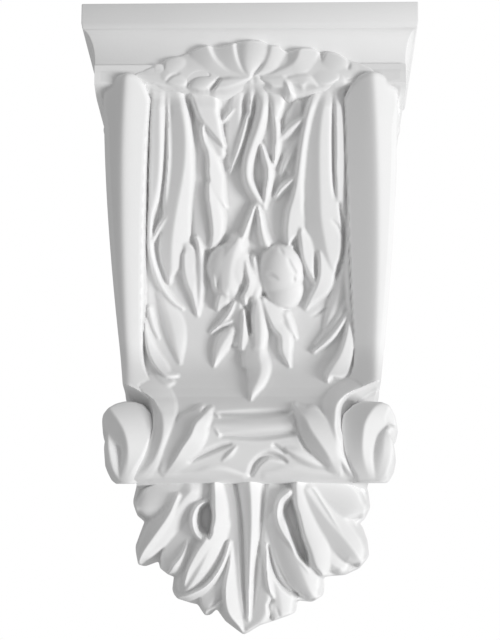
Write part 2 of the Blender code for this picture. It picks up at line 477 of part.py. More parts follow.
    # lower fronds that curl in along the foot of the bar
    s.fold([(48.6, 168, 1.6, 1.2, 4.0), (45.0, 160.6, 1.8, 1.6, 4.0), (40.4, 153.6, 1.8, 1.6, 3.6),
            (33.2, 146.8, 0.4, 0.4, 2.0)],
           left=0.4, right=0.8, flank=2.0)
    s.fold([(49.6, 163.6, 0.8, 0.4, 5.4), (45.4, 156.4, 1.2, 1.0, 5.8), (40.0, 149.6, 1.3, 1.2, 5.4),
            (32.2, 143.0, 0.4, 0.4, 3.6)],
           left=0.6, right=1.0)
    s.fold([(50.2, 168, 0.6, 0.8, 4.6), (49.4, 158.6, 0.6, 2.4, 5.8), (48.0, 150, 0.6, 4.4, 6.4),
            (45.4, 142, 0.8, 6.4, 6.4), (41.6, 135.6, 0.9, 8.0, 5.8), (39.0, 131.4, 0.8, 4.0, 4.6),
            (38.8, 128.8, 0.5, 0.8, 3.4)],
           left=1.0, right=0.46, swell=0.3)
    s.groove([(39.2, 165.2, 0.5), (35.5, 163, 0.8), (30.8, 160.6, 0.3)], depth=1.6)


def carve_centre(s):
    """The hanging ribbons, the two buds and their leaves."""
    # ribbons that hang under the flower
    s.blade([(-6.5, 272, 2.4), (-8.0, 258, 3.8), (-9.0, 247, 2.8), (-10.2, 238, 0.6)],
            rise=1.0, crest=0.6, swell=0.5, lift=2.8)
    s.fold([(-1.4, 262, 0.6, 0.8, 5.6), (-3.6, 253, 1.4, 1.0, 6.2), (-6.4, 244, 1.2, 1.0, 5.8),
            (-10.2, 234, 0.3, 0.3, 3.6)],
           left=0.9, right=0.9)
    s.fold([(0.0, 281, 0.4, 0.4, 6.4), (0.2, 271, 0.8, 0.8, 6.4), (-0.6, 262, 0.6, 0.6, 5.8)],
           left=0.9, right=0.9)
    s.fold([(2.6, 283, 0.6, 0.6, 7.0), (6.0, 273, 2.4, 2.0, 8.4), (6.4, 265, 3.0, 2.4, 8.8),
            (4.4, 256, 3.0, 2.8, 8.6), (1.2, 247, 2.8, 2.6, 8.2), (-1.2, 239, 2.2, 2.4, 7.8),
            (-1.6, 231, 1.6, 2.2, 7.4), (0.8, 224.6, 1.6, 2.0, 7.0), (4.0, 219.6, 1.4, 1.6, 6.2),
            (7.2, 215.6, 0.3, 0.3, 4.6)],
           left=0.8, right=0.75, swell=0.3)
    s.fold([(5.6, 247, 0.3, 0.5, 7.2), (7.2, 240.6, 0.5, 1.6, 7.8), (8.7, 235, 0.5, 2.2, 8.0),
            (8.6, 229, 0.5, 2.2, 7.8), (7.6, 223, 0.6, 2.0, 7.2), (7.0, 216, 0.3, 0.3, 5.0)],
           left=1.0, right=0.7)
    s.hollow([(3.6, 240, 0.4), (4.8, 233, 2.6), (6.4, 225.4, 0.5)], floor=2.6, wall=3.0)
    s.fold([(8.4, 283, 1.2, 2.6, 7.4), (11.6, 272, 2.0, 4.2, 8.0), (12.4, 266.6, 2.0, 3.8, 8.0),
            (13.0, 262, 0.8, 1.6, 7.4)],
           left=0.5, right=0.45, swell=0.4)
    s.fold([(10.9, 266, 0.3, 0.6, 7.4), (12.3, 258, 0.5, 2.0, 7.8), (12.7, 250.6, 0.5, 2.4, 7.8),
            (12.3, 244, 0.5, 2.2, 7.4), (11.9, 237.4, 0.3, 0.3, 6.0)],
           left=1.0, right=0.6, swell=0.2)
    s.blade([(9.0, 262, 1.8), (9.4, 252, 2.8), (10.0, 244, 1.8)], rise=0.6, crest=-0.2, swell=0.5, lift=3.4)
    # the two stalks, and the buds that they carry
    s.fold([(3.0, 219, 0.2, 0.3, 5.0), (-0.2, 210.6, 0.6, 0.9, 6.0), (-3.0, 203, 0.7, 1.3, 7.0),
            (-5.6, 196, 1.0, 1.8, 8.0)],
           left=1.0, right=0.7)
    s.fold([(3.5, 218, 0.2, 0.3, 5.0), (4.6, 210.6, 0.5, 1.2, 6.0), (5.6, 203, 0.6, 2.0, 6.8),
            (7.4, 197.4, 1.2, 2.2, 7.0)],
           left=1.0, right=0.6)
    s.boss((-10.4, 185.6), (11.8, 12.4), lift=2.0, rise=8.2)
    s.fold([(-5.8, 198.4, 1.6, 1.8, 8.6), (-8.2, 191.6, 4.0, 5.0, 10.2), (-9.8, 184, 5.0, 5.6, 10.8),
            (-10.6, 175.6, 4.4, 4.6, 9.6)],
           left=0.24, right=0.66, swell=0.5, flank=2.0)
    s.fold([(-18.2, 188.6, 0.3, 0.3, 6.0), (-18.6, 181, 0.4, 1.6, 8.2), (-17.6, 175.6, 0.4, 1.2, 7.6),
            (-16.4, 173.2, 0.2, 0.3, 6.6)],
           left=1.0, right=0.8)
    s.boss((15.2, 183.2), (11.6, 14.2), lift=1.8, rise=10.4)
    s.boss((17.0, 174.4), (9.6, 9.6), lift=1.6, rise=8.4)
    s.groove([(7.6, 181.6, 0.8), (10.4, 181.2, 1.6), (13.4, 179.4, 0.8)], depth=1.0)
    s.blade([(1.6, 190, 1.0), (2.8, 182, 2.2), (3.2, 174, 2.2), (1.6, 169, 0.8)],
            rise=1.2, crest=-0.2, swell=0.5, lift=6.4)
    s.fold([(-2.2, 188, 0.2, 0.6, 9.2), (-1.8, 182.6, 0.4, 3.0, 10.0), (-0.9, 178.4, 0.4, 3.6, 10.0),
            (-1.6, 174.6, 0.4, 3.4, 9.6), (-3.3, 171, 0.4, 3.0, 8.8), (-2.8, 167.8, 0.4, 0.8, 7.6)],
           left=1.0, right=0.55, swell=0.4)
    s.hollow([(-2.4, 182.0, 0.3), (-2.5, 177.6, 1.3), (-3.8, 173.0, 0.5)], floor=5.6)
    s.groove([(19.0, 189.6, 0.4), (20.6, 186.0, 0.7), (22.2, 183.4, 0.8), (22.6, 182.6, 0.6)], depth=1.8)
    s.groove([(22.0, 181, 0.4), (22.0, 179.4, 0.8), (21.8, 178.2, 0.4)], depth=2.2)
    s.groove([(14.6, 195.4, 0.4), (15.7, 193.6, 0.6), (16.6, 191.8, 0.3)], depth=1.2)
    # calyx and small leaves under the buds
    s.fold([(-10.6, 174.6, 1.6, 2.4, 8.0), (-14.4, 172.4, 0.8, 4.6, 7.6), (-16.2, 168.4, 0.5, 4.4, 6.0),
            (-16.8, 165.0, 0.2, 0.8, 4.2)],
           left=1.0, right=0.40, swell=0.3)
    s.blade([(-7.4, 171, 3.0), (-7.0, 164, 3.4), (-6.8, 156, 3.4), (-6.8, 148, 2.0)],
            rise=2.4, crest=0.7, swell=0.3, lift=1.6, flank=2.0)
    s.fold([(-7.8, 168.6, 0.4, 0.4, 4.4), (-10.8, 162, 0.7, 1.0, 4.4), (-14.8, 157.2, 0.7, 1.0, 4.0),
            (-20.0, 152.6, 0.3, 0.3, 2.6)],
           left=0.8, right=0.8)
    s.fold([(-9.6, 158.6, 0.4, 0.6, 4.4), (-13.0, 157.2, 0.5, 0.8, 4.2), (-16.4, 155.8, 0.2, 0.4, 3.4)],
           left=0.8, right=0.8)
    s.fold([(-9.4, 153.4, 2.2, 2.0, 4.6), (-12.8, 148.2, 4.2, 3.2, 4.8), (-15.8, 142.8, 2.8, 2.2, 4.0),
            (-18.4, 135.8, 0.3, 0.3, 2.0)],
           left=0.30, right=0.62)
    s.fold([(-3.6, 164, 0.3, 0.3, 5.8), (-3.8, 157, 0.5, 1.6, 6.6), (-4.2, 150.6, 0.5, 3.0, 6.4),
            (-4.8, 145.0, 0.3, 1.6, 5.0)],
           left=1.0, right=0.6)
    s.fold([(4.2, 169, 2.0, 0.8, 7.4), (5.2, 161, 4.0, 2.2, 7.4), (5.5, 153, 4.4, 2.8, 7.0),
            (5.2, 146, 4.2, 2.2, 6.4)],
           left=0.22, right=0.80, swell=0.2)
    s.groove([(-1.4, 163.4, 0.6), (-0.4, 156, 1.2), (1.0, 146.4, 0.8)], depth=3.0)
    s.fold([(6.2, 168.4, 0.6, 2.0, 6.8), (9.0, 161.4, 0.8, 7.4, 7.4), (12.0, 155.6, 0.9, 6.8, 6.8),
            (15.6, 151, 1.0, 4.8, 6.0), (16.0, 144, 0.7, 4.6, 4.8), (18.0, 139.0, 0.5, 2.4, 3.8),
            (19.8, 135.6, 0.2, 0.4, 2.4)],
           left=1.0, right=0.42, swell=0.3)
    s.fold([(17.6, 161.4, 0.8, 1.8, 5.0), (19.8, 156, 1.0, 2.0, 4.6), (23.0, 150.0, 0.3, 0.3, 2.6)],
           left=0.6, right=0.6)
    s.groove([(15.8, 158.6, 0.3), (18.2, 155, 0.5), (20.2, 151.8, 0.4)], depth=1.2)
    s.fold([(5.2, 146.6, 7.0, 1.8, 5.8), (4.8, 140.6, 8.6, 3.4, 6.2), (5.8, 134.6, 8.6, 3.8, 6.2),
            (4.0, 128.4, 5.2, 3.4, 5.2), (1.6, 123.4, 2.4, 2.0, 4.0), (0.2, 119.0, 0.4, 0.4, 2.2)],
           left=0.30, right=0.85, swell=0.3)


def carve_crest(s):
    """The flower and the leafy band over the leaves."""
    # the ground under the flower, and the band on each side of it
    s.blade([(-14, 290.4, 8.6), (0, 292, 8.8), (12, 291, 8.0), (22, 290.4, 7.0)],
            rise=0.4, swell=0.8, lift=2.8, flank=1.6)
    s.blade([(-16, 287.0, 9.6), (-26, 286.6, 9.4), (-34, 284.8, 7.8), (-45, 282.8, 5.8),
             (-58.6, 282.6, 1.6)],
            rise=1.8, swell=0.8, lift=2.6, flank=1.6)
    s.blade([(18, 287.0, 9.0), (28, 286.8, 9.0), (36, 286.0, 9.0), (45, 285.8, 7.0), (57, 285.0, 3.2),
             (68, 279.6, 0.5)],
            rise=1.8, swell=0.8, lift=2.5, flank=1.6)
    s.boss((-38.4, 287.4), (6.6, 4.2), lift=3.4, rise=1.5, turn=10)
    s.boss((-49.0, 284.6), (5.4, 2.5), lift=2.8, rise=1.0, turn=12)
    s.boss((-38.8, 280.4), (7.4, 3.4), lift=3.4, rise=1.3, turn=-22)
    s.groove([(-42.6, 279.0, 0.4), (-39.8, 281.8, 0.8), (-36.0, 283.2, 0.5)], depth=1.3)
    s.groove([(-44.2, 289.6, 0.8), (-44.2, 287.4, 1.0), (-43.9, 285.4, 0.4)], depth=1.8)
    s.boss((41.8, 289.4), (7.4, 5.0), lift=3.4, rise=1.5, turn=-14)
    s.boss((50.8, 286.4), (5.6, 2.8), lift=2.8, rise=1.2, turn=-16)
    s.fold([(50, 288.4, 0.8, 2.2, 3.6), (58, 286.2, 0.9, 2.0, 3.6), (64.4, 282.6, 0.8, 1.4, 3.2),
            (68.4, 279.0, 0.3, 0.3, 2.2)],
           left=0.6, right=0.45)
    s.boss((38.0, 282.0), (7.0, 5.0), lift=3.4, rise=1.0)
    s.hollow([(36.6, 295.4, 2.0), (36.2, 292.6, 1.3), (35.8, 289.6, 0.5)], floor=0.4, wall=2.0)
    s.groove([(50.0, 288.4, 0.4), (49.4, 286.4, 0.9), (49.2, 285.2, 0.4)], depth=1.2)
    # outer petals
    s.fold([(-1.0, 281.4, 0.5, 0.5, 4.4), (-6.0, 282.6, 1.6, 0.8, 4.8), (-12.4, 285.0, 3.6, 0.9, 5.2),
            (-17.6, 289.4, 6.6, 1.1, 6.2), (-20.2, 293.6, 9.4, 1.1, 6.6), (-22.4, 300.0, 9.0, 1.1, 6.6)],
           left=0.30, right=1.1, swell=0.4)
    s.fold([(6.0, 281.6, 0.5, 0.8, 3.8), (13.0, 283.6, 0.8, 2.4, 4.8), (19.4, 286.4, 2.4, 4.6, 5.6),
            (23.6, 290.4, 4.4, 8.4, 6.6), (25.8, 299.0, 5.4, 10.0, 6.6)],
           left=0.62, right=0.26, swell=0.2)
    # the main petals of the flower
    s.fold([(-1.0, 281.6, 0.5, 0.4, 4.8), (-4.2, 284.4, 2.6, 0.5, 5.4), (-6.6, 289.0, 7.0, 0.7, 6.6),
            (-8.0, 294.0, 11.0, 0.8, 7.4), (-8.8, 301.0, 13.0, 0.8, 7.6)],
           left=0.36, right=1.2, swell=0.3)
    s.fold([(2.0, 281.8, 0.5, 0.5, 4.4), (6.2, 285.2, 1.4, 2.8, 5.2), (9.4, 290.4, 2.4, 7.0, 6.4),
            (12.0, 300.0, 2.6, 8.0, 6.6)],
           left=0.5, right=0.40, swell=0.5)
    s.fold([(0.0, 281.4, 0.4, 0.4, 4.8), (-1.0, 284.6, 2.4, 4.2, 5.8), (-1.4, 289.0, 4.8, 8.4, 6.8),
            (-0.6, 294.4, 7.4, 10.4, 7.8), (0.2, 301.6, 8.0, 10.0, 7.0)],
           left=0.50, right=0.28, swell=1.0)
    # petals that fall below the centre
    s.fold([(-0.4, 280.8, 0.6, 0.6, 4.6), (-6.0, 280.0, 1.0, 2.4, 5.2), (-12.0, 279.4, 1.2, 3.8, 5.4),
            (-17.6, 278.6, 1.0, 3.8, 5.0)],
           left=0.6, right=0.30, swell=0.4)
    s.boss((-24.0, 278.2), (7.6, 3.9), lift=2.6, rise=2.8, turn=6)
    s.groove([(-15.6, 280.4, 0.6), (-17.4, 278.0, 1.0), (-19.4, 275.8, 1.1), (-20.8, 275.2, 0.5)],
             depth=4.6)
    s.groove([(-31.6, 277.0, 0.6), (-29.6, 280.4, 1.1), (-26.4, 282.6, 1.1), (-21.0, 282.4, 0.7)],
             depth=1.8)
    s.fold([(3.0, 280.0, 0.5, 0.8, 3.4), (9.0, 280.2, 1.6, 3.6, 4.4), (16.0, 280.6, 1.6, 4.4, 4.8)],
           left=0.5, right=0.30, swell=0.5)
    s.fold([(17.2, 280.0, 0.5, 0.6, 5.0), (18.6, 277.2, 0.9, 1.3, 5.6), (20.0, 273.8, 0.4, 0.5, 4.6)],
           left=1.0, right=0.8)
    s.fold([(20.4, 281.2, 2.6, 1.0, 4.4), (25.4, 281.6, 5.0, 1.2, 5.2), (29.6, 280.8, 4.2, 1.2, 5.2),
            (33.4, 277.4, 0.5, 0.4, 3.6)],
           left=0.34, right=0.8, swell=0.4)
    s.hollow([(2.0, 279.6, 0.5), (4.6, 278.6, 1.8), (8.4, 276.8, 1.6), (11.0, 275.4, 0.5)],
             floor=0.0, wall=2.0)


def carve_pendant(s):
    """The leaf that hangs below the scroll."""
    # an even root, inside the scroll
    s.blade([(-60, 91, 11.0), (60, 91, 11.0)], left=-6, top=-5.6, right=-6, flank=STEEP)
    # lobes, from the outer ones to the middle, each a leaf lobe seen from the front
    # left, upper
    s.blade([(-30, 76, 10), (-42, 70, 9), (-52, 66, 7.4), (-57.6, 64.6, 2.6)],
            left=-7, top=-2.5, right=-5, crest=0.3, swell=0.8, flank=STEEP)
    s.blade([(-30, 72, 8), (-40, 60, 7.5), (-48, 50, 6.8), (-54, 41.5, 4.4), (-56.6, 36.6, 1.0)],
            left=-6, top=0.0, right=-4.5, crest=-0.05, swell=0.4, flank=STEEP)
    # right, upper
    s.blade([(30, 76, 10), (42, 70, 9.6), (51, 65.6, 7.6), (57.0, 63.0, 2.8)],
            left=-5, top=-2.5, right=-7, crest=-0.3, swell=0.8, flank=STEEP)
    s.blade([(28, 72, 8), (38, 58, 8.0), (47, 48, 7.6), (53, 40.5, 6.0), (56.0, 37.0, 2.0)],
            left=-3.0, top=0.5, right=-6, crest=0.1, swell=0.4, flank=STEEP)
    # middle lobes
    s.blade([(-28, 60, 8), (-35, 46, 7.4), (-41, 37, 5.4), (-43.5, 33.4, 2.4)],
            left=-6.0, top=-2.2, right=-6.0, crest=0.4, swell=0.2, flank=STEEP)
    s.blade([(28, 62, 9), (35, 48, 8.2), (41.5, 38.4, 6.8), (45.5, 34.2, 3.8)],
            left=-6.0, top=-1.2, right=-6.0, crest=-0.3, swell=0.4, flank=STEEP)
    # lower lobes
    s.blade([(-18, 56, 9), (-25, 40, 10.4), (-30, 29, 8.2), (-34.6, 21, 3.8), (-37, 19, 1.0)],
            left=-7, top=1.2, right=-5.6, crest=0.25, swell=0.3, flank=STEEP)
    s.blade([(17, 56, 9), (24, 40, 10.6), (28.6, 28, 9.0), (31.4, 21, 4.4), (33.4, 18.6, 1.4)],
            left=-4, top=1.2, right=-7.0, crest=-0.1, swell=0.6, flank=STEEP)
    s.blade([(-11, 42, 4), (-17, 27, 7.0), (-21.4, 17, 4.8), (-23, 10.6, 0.8)],
            left=-6, top=-3.4, right=-7, crest=0.4, swell=0.4, flank=STEEP)
    s.blade([(9, 42, 3.4), (12.6, 27, 6.0), (14.6, 16, 7.4), (15.4, 10.6, 5.4)],
            left=-4.6, top=-3.2, right=-7, crest=0.1, swell=0.5, flank=STEEP)
    # bottom lobe
    s.blade([(-2, 50, 10), (-3, 32, 11), (-2.6, 18, 10.5), (-1.0, 9, 7.0), (-3.0, 2.4, 2.0),
             (-3.8, 0.6, 0.4)],
            left=-6.5, top=-3.0, right=-6.5, crest=0.0, swell=0.6, flank=STEEP)
    # leaf body behind the eyes
    s.blade([(-6, 78, 14), (-8, 62, 16), (-8, 48, 12)], left=-6, top=-4.0, right=-4, crest=0.0, swell=0.5)
    s.blade([(6, 78, 14), (8, 62, 16), (8, 48, 12)], left=-4, top=-4.0, right=-6, crest=0.0, swell=0.5)
    # rims round the eyes
    s.blade([(-17.0, 77, 2.0), (-15.6, 66, 3.4), (-15.6, 57, 3.5), (-18.6, 49, 4.0), (-24, 40.5, 4.4),
             (-30, 32, 2.6), (-33.5, 25, 0.5)],
            left=1.0, top=3.6, right=-2.6, crest=-0.75, swell=0.5)
    s.blade([(-22.6, 67.2, 0.7), (-27.0, 64.6, 1.5), (-29.2, 58.5, 1.7), (-27.8, 51.6, 1.6),
             (-23.6, 47.4, 1.6)],
            left=-2.0, top=2.4, right=-0.5, crest=-0.2, swell=0.5)
    s.blade([(19.6, 72.0, 2.2), (14.9, 67.4, 2.0), (13.9, 59.4, 1.9), (16.6, 52.4, 2.2),
             (20.8, 46.0, 2.0), (25.6, 38.0, 1.8), (29.6, 31.6, 0.8)],
            left=-2.5, top=2.8, right=-0.5, crest=-0.4, swell=0.5)
    s.blade([(25.0, 76, 3.4), (26.8, 64, 4.6), (30.4, 53, 5.2), (34.0, 44, 5.4), (36, 36, 4.6),
             (37, 31, 1.6)],
            left=0.6, top=2.8, right=-2.2, crest=-0.6, swell=0.6)
    s.blade([(-36.4, 70, 2.4), (-40.6, 60, 3.2), (-47.6, 50, 3.0), (-53.6, 42, 2.2), (-56.8, 37, 0.5)],
            left=-4.2, top=1.8, right=-2.6, crest=-0.3, swell=0.5)
    s.blade([(30, 72, 3.0), (37.4, 58.6, 4.0), (43.6, 48.4, 3.6), (48.6, 39.4, 1.6)],
            left=-3.4, top=-1.6, right=0.4, crest=0.4, swell=0.2)
    s.hollow([(-21.6, 67.0, 0.8), (-23.0, 62.5, 3.6), (-23.0, 56.0, 4.0), (-21.6, 51.4, 2.3),
              (-21.2, 48.6, 0.4)],
             floor=-13.0, wall=6.0)
    s.hollow([(20.6, 67.8, 1.0), (20.2, 62.0, 3.8), (22.0, 55.0, 3.7), (24.0, 47.6, 3.3),
              (26.6, 40.5, 3.1), (29.2, 34.8, 0.6)],
             floor=-11.0, wall=6.0)
    # curled tongue between the left lobes
    s.blade([(-31.8, 49.4, 0.4), (-32.0, 43.4, 1.9), (-34.4, 37.4, 2.7), (-38.0, 33.2, 2.6),
             (-41.4, 31.0, 0.6)],
            left=-1.0, top=1.0, right=-4.4, crest=-0.7, swell=0.3)
    # rim of the lower left lobe, and of the lower right one
    s.blade([(-10.6, 47, 0.4), (-12.8, 38.6, 1.0), (-16.8, 30.4, 1.5), (-22.6, 23.8, 1.7),
             (-30, 20.0, 1.7), (-36.6, 18.9, 0.5)],
            left=-1.6, top=2.2, right=-3.0, crest=-0.5, swell=0.4)
    s.blade([(8.0, 46, 0.4), (8.6, 35, 1.4), (9.6, 26, 1.8), (11.2, 19, 1.2)],
            left=-1.8, top=0.8, right=-4.0, crest=-0.4, swell=0.3)
    s.groove([(8.9, 45, 0.5), (11.0, 35.4, 1.3), (14.0, 27.6, 1.4), (18.6, 22.2, 1.1), (24, 18.6, 0.4)],
             depth=5.5)
    s.blade([(-22.4, 11.8, 0.4), (-17.6, 14.6, 0.9), (-12.6, 18.4, 0.4)],
            left=-6.5, top=-2.6, right=-4.0, crest=0.1, swell=0.3)
    # the bottom lobe: its left edge, the grooves and the middle rib
    s.blade([(-9.6, 47, 0.5), (-9.2, 36, 2.0), (-9.6, 24, 4.0), (-8.4, 13, 4.2), (-5.2, 4.6, 1.4),
             (-3.8, 0.8, 0.3)],
            left=-1.0, top=1.4, right=-5.0, crest=-0.8, swell=0.2)
    s.blade([(2, 40, 3), (3.6, 28, 4.6), (5.4, 18, 5.6), (3.4, 9, 5.0), (-1.6, 3.2, 2.4),
             (-3.6, 0.8, 0.4)],
            left=-5.6, top=-2.2, right=-3.6, crest=0.6, swell=0.3)
    s.groove([(-8.0, 80, 1.8), (-5.2, 66, 1.8), (-4.2, 52, 1.7), (-3.8, 36, 1.6), (-3.0, 20, 1.4),
              (-1.8, 6.6, 0.4)],
             depth=2.8)
    s.groove([(7.6, 78, 1.6), (5.6, 64, 1.9), (4.4, 50, 2.4), (3.0, 34, 2.4), (1.8, 20, 1.8),
              (0.6, 9.0, 0.4)],
             depth=2.4)
    s.blade([(-0.8, 81, 6.0), (0.2, 68, 4.8), (0.4, 55, 3.6), (-0.2, 40, 2.4), (-0.8, 25, 1.5),
             (-1.2, 7, 0.3)],
            left=-2.6, top=2.8, right=-2.6, crest=0.05, swell=0.3)
    # crack and chips low on the right
    s.groove([(10.2, 20.2, 0.5), (10.6, 17, 0.9), (9.1, 15, 0.8), (9.6, 11, 0.6), (11.0, 6.6, 0.6)],
             depth=3.0)
    s.groove([(13.0, 13.6, 0.3), (14.0, 10.6, 0.6), (15.0, 7.6, 0.3)], depth=1.0)


def carve_scroll(s):
    """Everything on the big roll: its lips, diagonal straps, flutes and low leaves."""
    # the lips that carry the bars round the roll
    s.fold([(-60, 132, 1.0, 5.0, 2.0), (-57.6, 127, 3.0, 9.0, 4.4), (-51.4, 120.4, 4.4, 11.6, 5.4),
            (-45.8, 114.8, 4.6, 9.2, 4.8), (-43.9, 109, 4.9, 5.8, 4.4), (-43.9, 102, 4.6, 2.8, 3.8),
            (-45.6, 95, 4.2, 1.7, 3.4), (-48.6, 88, 4.0, 2.4, 2.8), (-53.6, 81.5, 3.6, 3.0, 2.2),
            (-60.6, 76.5, 2.0, 2.0, 1.2)],
           left=0.75, right=0.42, swell=0.2)
    s.fold([(60, 132, 5.0, 1.0, 2.0), (57.0, 126, 8.0, 2.6, 4.4), (52.0, 119.8, 10.4, 3.0, 5.4),
            (45.4, 115.6, 8.6, 2.8, 5.4),
            (43, 109, 5.4, 2.6, 5.8), (43, 103, 2.2, 2.6, 5.4), (43.6, 97, 0.7, 2.1, 4.6),
            (44.8, 91, 0.7, 1.8, 3.8), (47.8, 85, 0.8, 1.8, 3.0), (51.4, 80, 0.6, 1.6, 2.2),
            (55, 76.6, 0.6, 1.0, 1.4)],
           left=0.42, right=0.9, swell=0.3)
    # the broad diagonal straps, each a slope to the lip's valley beside a sharp ridge
    s.fold([(-25.0, 112, 4.0, 0.5, 3.4), (-28.0, 107, 8.0, 0.5, 4.0), (-31.0, 101, 9.5, 0.5, 4.2),
            (-35.0, 95, 8.5, 0.5, 3.8), (-38.5, 89, 7.0, 0.5, 3.2), (-42.0, 83.6, 4.0, 0.5, 2.2)],
           left=0.28, right=0.5)
    s.fold([(-20.6, 114.4, 0.6, 1.6, 3.0), (-24.0, 110.6, 0.8, 4.6, 5.8), (-27.4, 107, 0.8, 6.6, 6.8),
            (-30.0, 101, 0.8, 7.4, 7.0), (-34.0, 95, 0.8, 7.6, 6.6), (-37.6, 89, 0.8, 6.4, 5.8),
            (-41.0, 83.6, 0.5, 3.6, 3.8), (-43.6, 80.4, 0.3, 1.0, 2.0)],
           left=1.4, right=0.72, swell=0.1)
    s.fold([(22.4, 115, 1.0, 2.0, 3.0), (25.2, 112, 3.0, 4.4, 5.4), (27.8, 109.4, 4.8, 7.8, 6.6),
            (30.4, 104.4, 5.8, 9.0, 7.0), (34.4, 98.4, 6.4, 8.0, 6.8), (38.6, 92, 6.4, 6.0, 6.2),
            (41.0, 87, 4.4, 4.4, 5.0), (43.6, 82, 1.6, 2.5, 2.8)],
           left=0.80, right=0.26)
    s.groove([(22.4, 111, 0.5), (24.6, 102, 1.2), (28.4, 94, 1.6), (34.4, 88.0, 1.8), (38.6, 85.2, 0.8)],
             depth=1.8)
    # flutes between the straps
    s.groove([(-16, 111.8, 0.8), (2, 111.6, 2.1), (20, 112.2, 1.5)], depth=2.6)
    s.groove([(-15, 100.4, 1.0), (4, 100.4, 2.3), (22, 102, 1.5)], depth=2.6)
    s.blade([(-18, 106, 2.4), (0, 106, 3.6), (20, 106.4, 2.4)], rise=1.2, swell=0.8)
    s.blade([(-19.4, 113.6, 0.5), (-16.0, 110.4, 0.9)], rise=1.8, swell=0.4)
    s.blade([(-17.8, 104.2, 0.5), (-15.8, 101.0, 0.8)], rise=1.6, swell=0.4)
    s.blade([(24.0, 113.8, 0.6), (20.8, 111.6, 1.0)], rise=1.6, swell=0.4)
    # low leaves along the foot of the roll
    s.groove([(-31, 87.4, 0.8), (-24, 91, 1.6), (-16, 94.6, 1.7), (-10, 96.4, 0.6)], depth=2.6)
    s.blade([(-14, 88, 0.7), (-10.5, 91.2, 1.6), (-7, 95.2, 0.5)], rise=2.0, swell=0.3)
    s.blade([(18, 94, 1.0), (24, 91.4, 3.2), (31, 87.4, 2.8), (37, 84.6, 0.6)],
            rise=2.2, crest=-0.2, swell=0.5)
    s.groove([(0, 81.5, 1.8), (2.6, 86.6, 2.2), (8, 90.6, 1.9), (14, 89.8, 1.5), (18.2, 87.4, 0.6)],
             depth=4.2)
    s.groove([(12, 95.6, 1.2), (17.2, 92.4, 0.9)], depth=2.4)
    s.blade([(-50, 77.4, 1.6), (-38, 79.2, 2.0), (-28, 80.6, 2.6), (-20, 82.6, 3.0), (-13, 82.4, 2.6),
             (-4, 79.6, 2.2)],
            rise=2.0, swell=0.6)
    s.blade([(8, 80, 3.0), (20, 82.6, 3.8), (32, 81.0, 3.4), (46, 79, 2.0)], rise=1.6, swell=0.6)


def carve_volutes(s):
    """The rolled ends of the scroll, each with an eye, over the depth of the scroll's axis."""
    s.fold([(-74.4, 119.4, 1.0, 13.0, 20.0), (-71.4, 115, 5.0, 15.5, 22.0), (-67.2, 109, 9.2, 16.0, 22.4),
            (-63.8, 103, 11.0, 14.6, 22.4), (-61.9, 96, 3.4, 12.5, 22.4), (-61.9, 89, 2.6, 11.2, 22.4),
            (-63.8, 82, 2.0, 9.8, 22.0), (-66.2, 76.6, 1.2, 9.0, 20.4)],
           left=0.80, right=0.42, flank=2.5)
    s.fold([(-72.3, 102, 1.0, 4.6, 16.4), (-72.0, 97, 1.8, 7.2, 18.8), (-71.2, 91, 2.2, 7.4, 19.2),
            (-69.9, 85, 2.2, 6.2, 18.6), (-67.6, 79.4, 1.2, 3.2, 17.0)],
           left=1.2, right=0.55, swell=0.2)
    s.fold([(71.0, 119.4, 12.0, 1.0, 20.0), (64.0, 116, 13.0, 9.0, 22.0), (60.2, 111, 12.5, 13.0, 22.4),
            (57.9, 106, 11.5, 12.6, 22.4), (57.0, 100, 11.0, 6.8, 22.4), (56.8, 94, 10.2, 4.8, 22.4),
            (57.6, 88, 9.2, 3.7, 22.4), (59.5, 83, 8.4, 2.6, 22.0), (62.2, 77, 8.0, 1.2, 20.0)],
           left=0.46, right=0.80, flank=2.5)
    s.fold([(68.4, 103.4, 1.5, 4.0, 16.6), (67.6, 99, 4.6, 5.6, 19.0), (67.0, 92, 5.6, 6.6, 20.0),
            (65.6, 85, 4.2, 6.6, 19.4), (64.0, 79.0, 1.2, 4.2, 17.6)],
           left=0.6, right=0.5, swell=0.7)
    s.keep_within(*VOLUTE_OUTLINES)


def carve_cheek(s):
    """A plain S scroll on the body's side. u is the depth from the wall here, and v the height."""
    boss = [(72 + r * math.cos(a), 233 + r * math.sin(a), r / 5)
            for a, r in ((math.radians(70 + 30 * k), 8 + 1.1 * k) for k in range(14))]
    tail = [(34, 196, 4.6), (30, 172, 4.2), (36, 150, 3.6)]
    s.blade(boss + tail, rise=1.8, swell=0.8, flank=2.0)
    s.blade([(72, 233, 7.0), (73, 232, 7.0)], rise=2.0, swell=1.0, flank=2.0)
    s.blade([(30, 128, 3.0), (38, 142, 5.0), (46, 158, 5.5), (52, 176, 2.0)],
            rise=1.2, swell=0.6, flank=2.0)


def seen(x, y, z):
    """Where the drawing shows points of the corbel."""
    eye, aim = (np.array(p) * DRAWN_PER_METRE for p in (EYE, AIM))
    ahead = (aim - eye) / np.linalg.norm(aim - eye)
    right = np.cross(ahead, (0.0, 0.0, 1.0))
    right /= np.linalg.norm(right)
    up = np.cross(right, ahead)
    drawn = (x * DRAWN_WIDTH / WIDTH, y * DRAWN_DEPTH / DEPTH, z * DRAWN_HEIGHT / HEIGHT)
    point = np.stack(drawn, -1) - eye
    slope = DRAWN_SCALE / (point @ ahead)
    return DRAWN_MIDDLE[0] + slope * (point @ right), DRAWN_MIDDLE[1] + slope * (point @ up)


def ease(x):
    """A smooth step from 0 to 1."""
    x = np.clip(x, 0, 1)
    return x * x * (3 - 2 * x)


